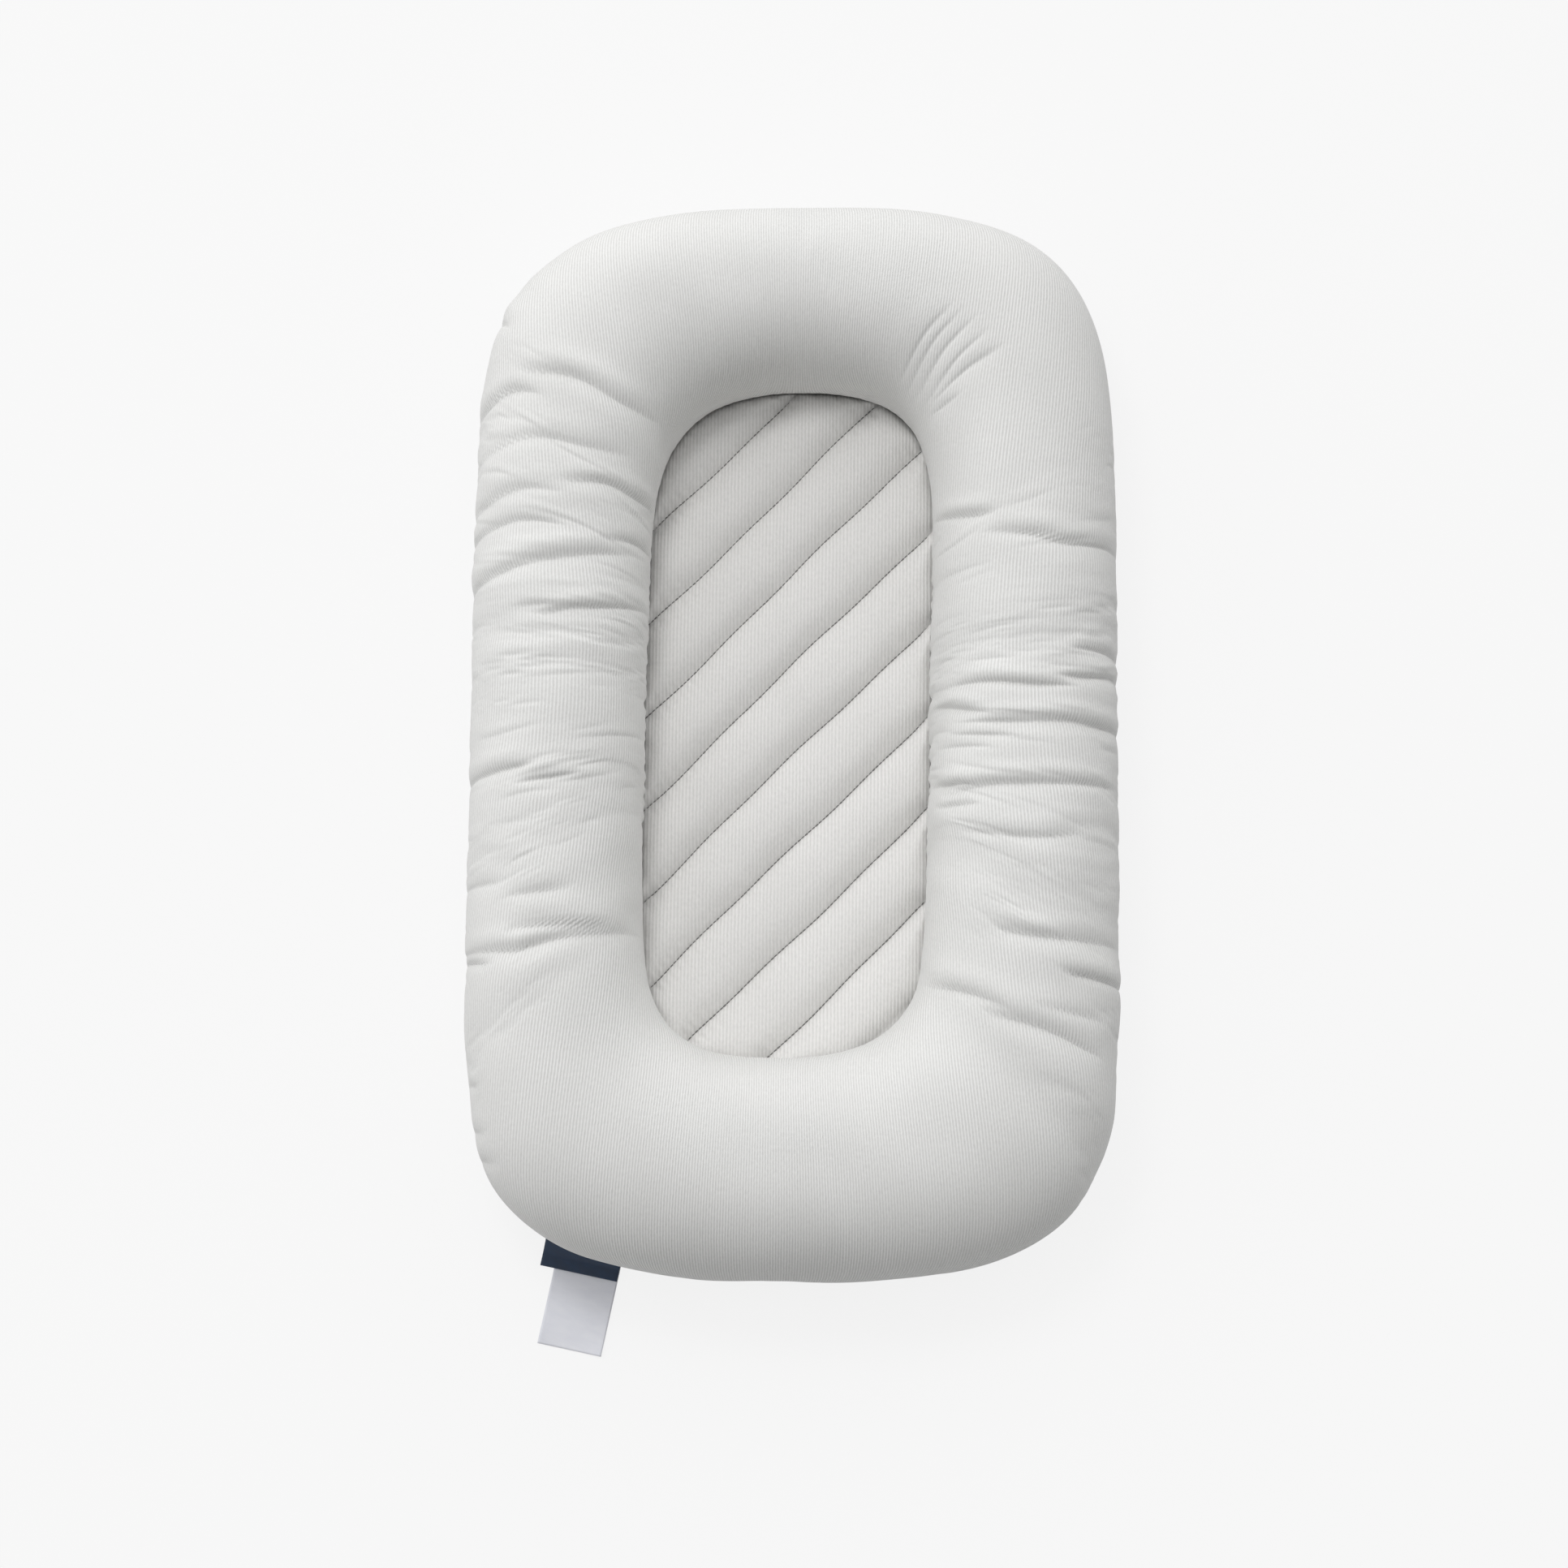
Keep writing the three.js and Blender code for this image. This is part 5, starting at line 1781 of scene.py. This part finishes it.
def bar_mesh(centres, half_width, half_thickness):
    """A flat bar swept along centres in X and Z, with rounded edges."""
    tangent = np.gradient(centres, axis=0)
    tangent /= np.linalg.norm(tangent, axis=1, keepdims=True)
    normal = np.column_stack([-tangent[:, 1], tangent[:, 0]])
    turns = 2 * math.pi * np.arange(BAR_SIDES) / BAR_SIDES
    sides, lifts = (np.sign(v) * np.abs(v) ** 0.5 for v in (np.cos(turns), np.sin(turns)))
    rows = []
    for side, lift in zip(half_width * sides, half_thickness * lifts):
        x, z = (centres + normal * lift).T
        rows.append(np.column_stack([x, np.full(len(x), side), z]))
    count = len(centres)
    last = (BAR_SIDES - 1) * count
    faces = grid_faces(BAR_SIDES, count)
    faces += [(last + i, last + i + 1, i + 1, i) for i in range(count - 1)]
    faces.append([row * count for row in range(BAR_SIDES)])
    faces.append([row * count + count - 1 for row in reversed(range(BAR_SIDES))])
    piece = add_mesh("bar", np.array(rows), faces, recalculate=True)
    mesh = piece.data
    bpy.data.objects.remove(piece)
    return mesh


# Parts of the slider, about the middle of the coils: X places, half widths at them, corner
SLIDER_PLATE = ((-0.006, 0.006), (0.0036, 0.0045), 0.0014)
SLIDER_LEVELS = (0.0014, 0.0025)
SLIDER_BEVEL = 0.00025
RAIL_EDGE = [(-0.0058, 0.0027), (-0.0058, 0.0036), (0.0058, 0.0045), (0.0058, 0.0036)]
RAIL_LEVELS = (0.0008, 0.0016)
RAIL_BEVEL = 0.0001
POST_PLATE = ((0.003, 0.006), (0.0002, 0.0003), 0.0002)
POST_LEVELS = (-0.0015, 0.0015)
POST_BEVEL = 0.00005
CROWN_LINE = [
    (-0.0036, -0.0023),
    (-0.0033, -0.0044),
    (-0.0016, -0.0050),
    (0.0016, -0.0050),
    (0.0033, -0.0044),
    (0.0036, -0.0023),
]
CROWN_POINTS = 31
CROWN_HALF_WIDTH = 0.0007
CROWN_HALF_THICKNESS = 0.0005
BAR_SIDES = 12
# Parts of the pull, about the crown
PULL_PLATE = ((-0.024, 0.0006), (0.0025, 0.0021), 0.0011)
PULL_EYE = ((-0.0046, -0.0006), (0.0013, 0.0012), 0.0005)
PULL_WINDOW = ((-0.0215, -0.0145), (0.0011, 0.0009), 0.0007)
PULL_LEVELS = (-0.0005, 0.0005)
PULL_BEVEL = 0.00018
RIDGE_PLACES = (-0.0130, -0.0115, -0.0100, -0.0085)
RIDGE_HALF_LENGTH = 0.0003
RIDGE_HALF_WIDTHS = (0.0016, 0.0016)
RIDGE_CORNER = 0.00015
RIDGE_LEVELS = (-0.0006, 0.0006)
RIDGE_BEVEL = 0.00008
STOP_BEVEL = 0.0004
STOP_BEVEL_STEPS = 3


def above_and_below(outline, levels, bevel):
    """The same plate above the coils and below them."""
    low, high = levels
    return [plate([outline], levels, bevel), plate([outline], (-high, -low), bevel)]


def make_slider():
    """Slider body: two plates joined by a post, rails that hold the coils, and the crown."""
    meshes = above_and_below(rounded_outline(*SLIDER_PLATE), SLIDER_LEVELS, SLIDER_BEVEL)
    for sign in (1, -1):
        rail = [(x, sign * y) for x, y in RAIL_EDGE]
        meshes += above_and_below(rail, RAIL_LEVELS, RAIL_BEVEL)
    meshes.append(plate([rounded_outline(*POST_PLATE)], POST_LEVELS, POST_BEVEL))
    crown = smooth_curve(CROWN_LINE, CROWN_POINTS)
    meshes.append(bar_mesh(crown, CROWN_HALF_WIDTH, CROWN_HALF_THICKNESS))
    piece = join_meshes("zip_slider_body", meshes, (SLIDER_X, ZIP_PLACE, COIL_HEIGHT))
    finish_piece(piece, zip_metal, ["zip_slider"], body="zip_slider")


def make_pull():
    """Pull tab with an eye at the crown, a window in its grip and low ridges across it."""
    outlines = [rounded_outline(*part) for part in (PULL_PLATE, PULL_EYE, PULL_WINDOW)]
    meshes = [plate(outlines, PULL_LEVELS, PULL_BEVEL)]
    for x in RIDGE_PLACES:
        ends = (x - RIDGE_HALF_LENGTH, x + RIDGE_HALF_LENGTH)
        ridge = rounded_outline(ends, RIDGE_HALF_WIDTHS, RIDGE_CORNER)
        meshes.append(plate([ridge], RIDGE_LEVELS, RIDGE_BEVEL))
    piece = join_meshes("zip_pull_tab", meshes, (SLIDER_X, ZIP_PLACE, PULL_HEIGHT))
    finish_piece(piece, zip_metal, ["zip_pull"], body="zip_pull")


def dress_stops():
    """The two metal stops keep their shape and get worn edges."""
    for name in ("zip_top_stop", "zip_bottom_stop"):
        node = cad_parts[name]
        node.data.materials.clear()
        node.data.materials.append(zip_metal)
        bevel = node.modifiers.new("worn_edges", "BEVEL")
        bevel.width = STOP_BEVEL
        bevel.segments = STOP_BEVEL_STEPS


# Labels

LABEL_COLUMNS = 33
LABEL_ROWS = 61
# Directions from the lounger's middle between which the labels' stretch of seam lies
SEAM_DIRECTIONS = np.radians(np.linspace(216, 256, 161))
# A ribbon leaves the seam at this height and lies flat from the settle place on
SEAM_EXIT_HEIGHT = 0.0122
SETTLE_PLACE = 0.020
FALL_POWER = 1.25
# Where a ribbon starts to ripple, and how its two far corners curl up
LOOSE_RANGE = (0.016, 0.035)
LABEL_WAVE_LENGTH = 0.045
CORNER_RANGE = (0.8, 1.0)
CORNER_CURL = 1.6
CORNER_POWER = 3
PLY_GAP = 0.0003
FOLD_TURN = np.linspace(0, math.pi, 7)[1:-1][:, None]


def label_frame():
    """The way that the labels point, and the way across them."""
    away = np.array([math.sin(LABEL_TILT), -math.cos(LABEL_TILT)])
    return away, np.array([away[1], -away[0]])


def seam_start(away, sideways, across):
    """How far along the label's way the outer seam runs, at each place across it."""
    stations = stations_at(SEAM_DIRECTIONS)
    seam = ring_points(stations, np.array([OUTER_BINDING_ANGLE]), SEAM_INSET)[0, :, :2]
    line = seam - LABEL_PLACE
    places, starts = line @ sideways, line @ away
    order = np.argsort(places)
    return np.interp(across, places[order], starts[order])


def label_height(along, start, lift):
    """The ribbon bends down from the seam and comes to lie flat."""
    share = np.clip((along - start) / (SETTLE_PLACE - start), 0, 1)
    fall = 1 - share**FALL_POWER
    fall = fall * fall * (3 - 2 * fall)
    return lift + (SEAM_EXIT_HEIGHT - lift) * fall


def make_label(name, material, node):
    width, length, shift, plies, lift, ripple = LABELS[name].values()
    away, sideways = label_frame()
    across = shift + np.linspace(-width / 2, width / 2, LABEL_COLUMNS)
    start = seam_start(away, sideways, across)
    rng = np.random.default_rng(SEEDS["label"])
    share = np.linspace(0, 1, LABEL_ROWS)[:, None]
    along = start + (length - start) * share
    level = label_height(along, start, lift)
    places = np.stack([along, np.broadcast_to(across, along.shape)], axis=2)
    loose = smooth_step(along, *LOOSE_RANGE)
    wave = 0.5 + 0.5 * soft_noise(places, rng, LABEL_WAVE_LENGTH)
    beside = (np.abs(across - shift) / (width / 2)) ** CORNER_POWER
    curl = beside * smooth_step(share, *CORNER_RANGE)
    level = level + ripple * loose * wave + CORNER_CURL * ripple * curl
    if plies == 2:
        fold_along = along[-1:] + PLY_GAP * np.sin(FOLD_TURN)
        fold_level = level[-1:] + PLY_GAP * np.cos(FOLD_TURN)
        along = np.vstack([along, fold_along, along[::-1]])
        level = np.vstack([level + PLY_GAP, fold_level, level[::-1] - PLY_GAP])
    across = np.broadcast_to(across, along.shape)
    plan = LABEL_PLACE + along[..., None] * away + across[..., None] * sideways
    points = np.concatenate([plan, level[..., None]], axis=2)
    piece = add_mesh(name, points, grid_faces(len(along), LABEL_COLUMNS))
    turn_sheet(piece, 1)
    steps = np.linalg.norm(np.diff(points, axis=0, prepend=points[:1]), axis=2)
    set_cloth_directions(piece, across, np.cumsum(steps, axis=0))
    add_thickness(piece, LABEL_CLOTH, offset=0.0)
    finish_piece(piece, material, [node])


# Stage, light and camera

FLOOR_COLOUR = linear(230, 230, 230)
FLOOR_SHOWN = linear(253, 253, 253)
FLOOR_SHOWN_SHARE = 0.85
FLOOR_TONES = (0.985, 1.0)
FLOOR_HALF = 6.0
FLOOR_LEVEL = -0.0004
BACKGROUND_COLOUR = linear(248, 248, 248)
WHITE = (1.0, 1.0, 1.0, 1.0)


def make_stage():
    """A wide pale floor that shows near its own pale colour and keeps a soft shadow."""
    material = bpy.data.materials.new("pale_floor")
    material.use_nodes = True
    tree = material.node_tree
    tree.nodes.remove(tree.nodes["Principled BSDF"])
    tone = in_range(tree, pattern(tree, object_places(tree), "floor_tone"), *FLOOR_TONES)
    inputs = {0: FLOOR_COLOUR[:3], "Scale": tone}
    pale = add_node(tree, "ShaderNodeVectorMath", inputs, operation="SCALE").outputs["Vector"]
    matt = add_node(tree, "ShaderNodeBsdfDiffuse", {"Color": pale}).outputs[0]
    glow = add_node(tree, "ShaderNodeEmission", {"Color": FLOOR_SHOWN, "Strength": 1.0}).outputs[0]
    share = calculate(tree, "MULTIPLY", seen_directly(tree), FLOOR_SHOWN_SHARE)
    mixed = add_node(tree, "ShaderNodeMixShader", {0: share, 1: matt, 2: glow}).outputs[0]
    tree.links.new(mixed, tree.nodes["Material Output"].inputs["Surface"])
    signs = ((-1, -1), (1, -1), (1, 1), (-1, 1))
    corners = [(x * FLOOR_HALF, y * FLOOR_HALF, FLOOR_LEVEL) for x, y in signs]
    floor = add_mesh("floor", corners, [(0, 1, 2, 3)], smooth=False)
    floor.data.materials.append(material)


def seen_directly(tree):
    """One for rays that show the background, straight, mirrored or through glass."""
    path = add_node(tree, "ShaderNodeLightPath")
    shown = calculate(tree, "MAXIMUM", path.outputs["Is Camera Ray"], path.outputs["Is Glossy Ray"])
    return calculate(tree, "MAXIMUM", shown, path.outputs["Is Transmission Ray"])


AMBIENT = 0.685
ROOM_SLOPE = (-0.34, 0.88, -0.02)
WINDOW_PLACE = Vector((-0.7, 1.1, 2.8))
WINDOW_SIZE = 0.8
WINDOW_POWER = 20
WINDOW_COLOUR = (1.0, 0.997, 0.992)


def make_room():
    """An even pale room, a little brighter towards one side, with its own background tone."""
    world = bpy.data.worlds.new("pale_room")
    bpy.context.scene.world = world
    world.use_nodes = True
    tree = world.node_tree
    tree.nodes.clear()
    direction = add_node(tree, "ShaderNodeTexCoord").outputs["Generated"]
    inputs = {0: direction, 1: ROOM_SLOPE}
    towards = add_node(tree, "ShaderNodeVectorMath", inputs, operation="DOT_PRODUCT")
    level = calculate(tree, "ADD", towards.outputs["Value"], 1.0)
    level = calculate(tree, "MULTIPLY", calculate(tree, "MAXIMUM", level, 0.0), AMBIENT)
    backgrounds = [
        add_node(tree, "ShaderNodeBackground", {"Color": colour, "Strength": strength}).outputs[0]
        for colour, strength in ((WHITE, level), (BACKGROUND_COLOUR, 1.0))
    ]
    inputs = dict(enumerate([seen_directly(tree), *backgrounds]))
    mixed = add_node(tree, "ShaderNodeMixShader", inputs).outputs[0]
    tree.links.new(mixed, add_node(tree, "ShaderNodeOutputWorld").inputs["Surface"])


def make_window():
    lamp = bpy.data.lights.new("window_light", "AREA")
    lamp.shape = "SQUARE"
    lamp.size = WINDOW_SIZE
    lamp.energy = WINDOW_POWER
    lamp.color = WINDOW_COLOUR
    holder = link_object("window_light", lamp)
    holder.location = WINDOW_PLACE
    holder.rotation_mode = "QUATERNION"
    holder.rotation_quaternion = WINDOW_PLACE.to_track_quat("Z", "Y")


CAMERA_ELEVATION = math.radians(81)
CAMERA_DISTANCE = 2.9
SENSOR_WIDTH = 36.0
CAMERA_ROLL = math.radians(0.39)
FRAME_WIDTH = 1.159
CAMERA_AIM = Vector((-0.0072, -0.0347, 0.060))


def make_camera():
    camera = bpy.data.cameras.new("camera")
    camera.sensor_width = SENSOR_WIDTH
    camera.lens = SENSOR_WIDTH * CAMERA_DISTANCE / FRAME_WIDTH
    back = Vector((0, -math.cos(CAMERA_ELEVATION), math.sin(CAMERA_ELEVATION)))
    holder = link_object("camera", camera)
    holder.location = CAMERA_AIM + back * CAMERA_DISTANCE
    holder.rotation_mode = "QUATERNION"
    level = (-back).to_track_quat("-Z", "Y")
    holder.rotation_quaternion = Quaternion(back, CAMERA_ROLL) @ level
    bpy.context.scene.camera = holder
    bpy.context.scene.view_settings.view_transform = "Standard"


make_camera()
make_room()
make_window()
make_stage()
make_bolster_cover()
# The inner cord is grey as painted shade of the gap where the bolster meets the pad.
ring_tube("inner_seam_cord", seam_tape_painted_shade, "seam_thread", "inner_seam_binding", **INNER_CORD)
ring_tube("outer_seam_piping", rib_cloth, "rib_cloth", "outer_seam_binding", **OUTER_PIPING)
make_pad_face()
make_pad_layers()
make_quilt_stitches()
make_insert_tube()
make_base_panels()
make_zip_cloth()
make_zip_coils()
make_slider()
make_pull()
dress_stops()
make_label("care_ribbon", white_ribbon, "care_label")
make_label("navy_tab", navy_ribbon, "navy_label")
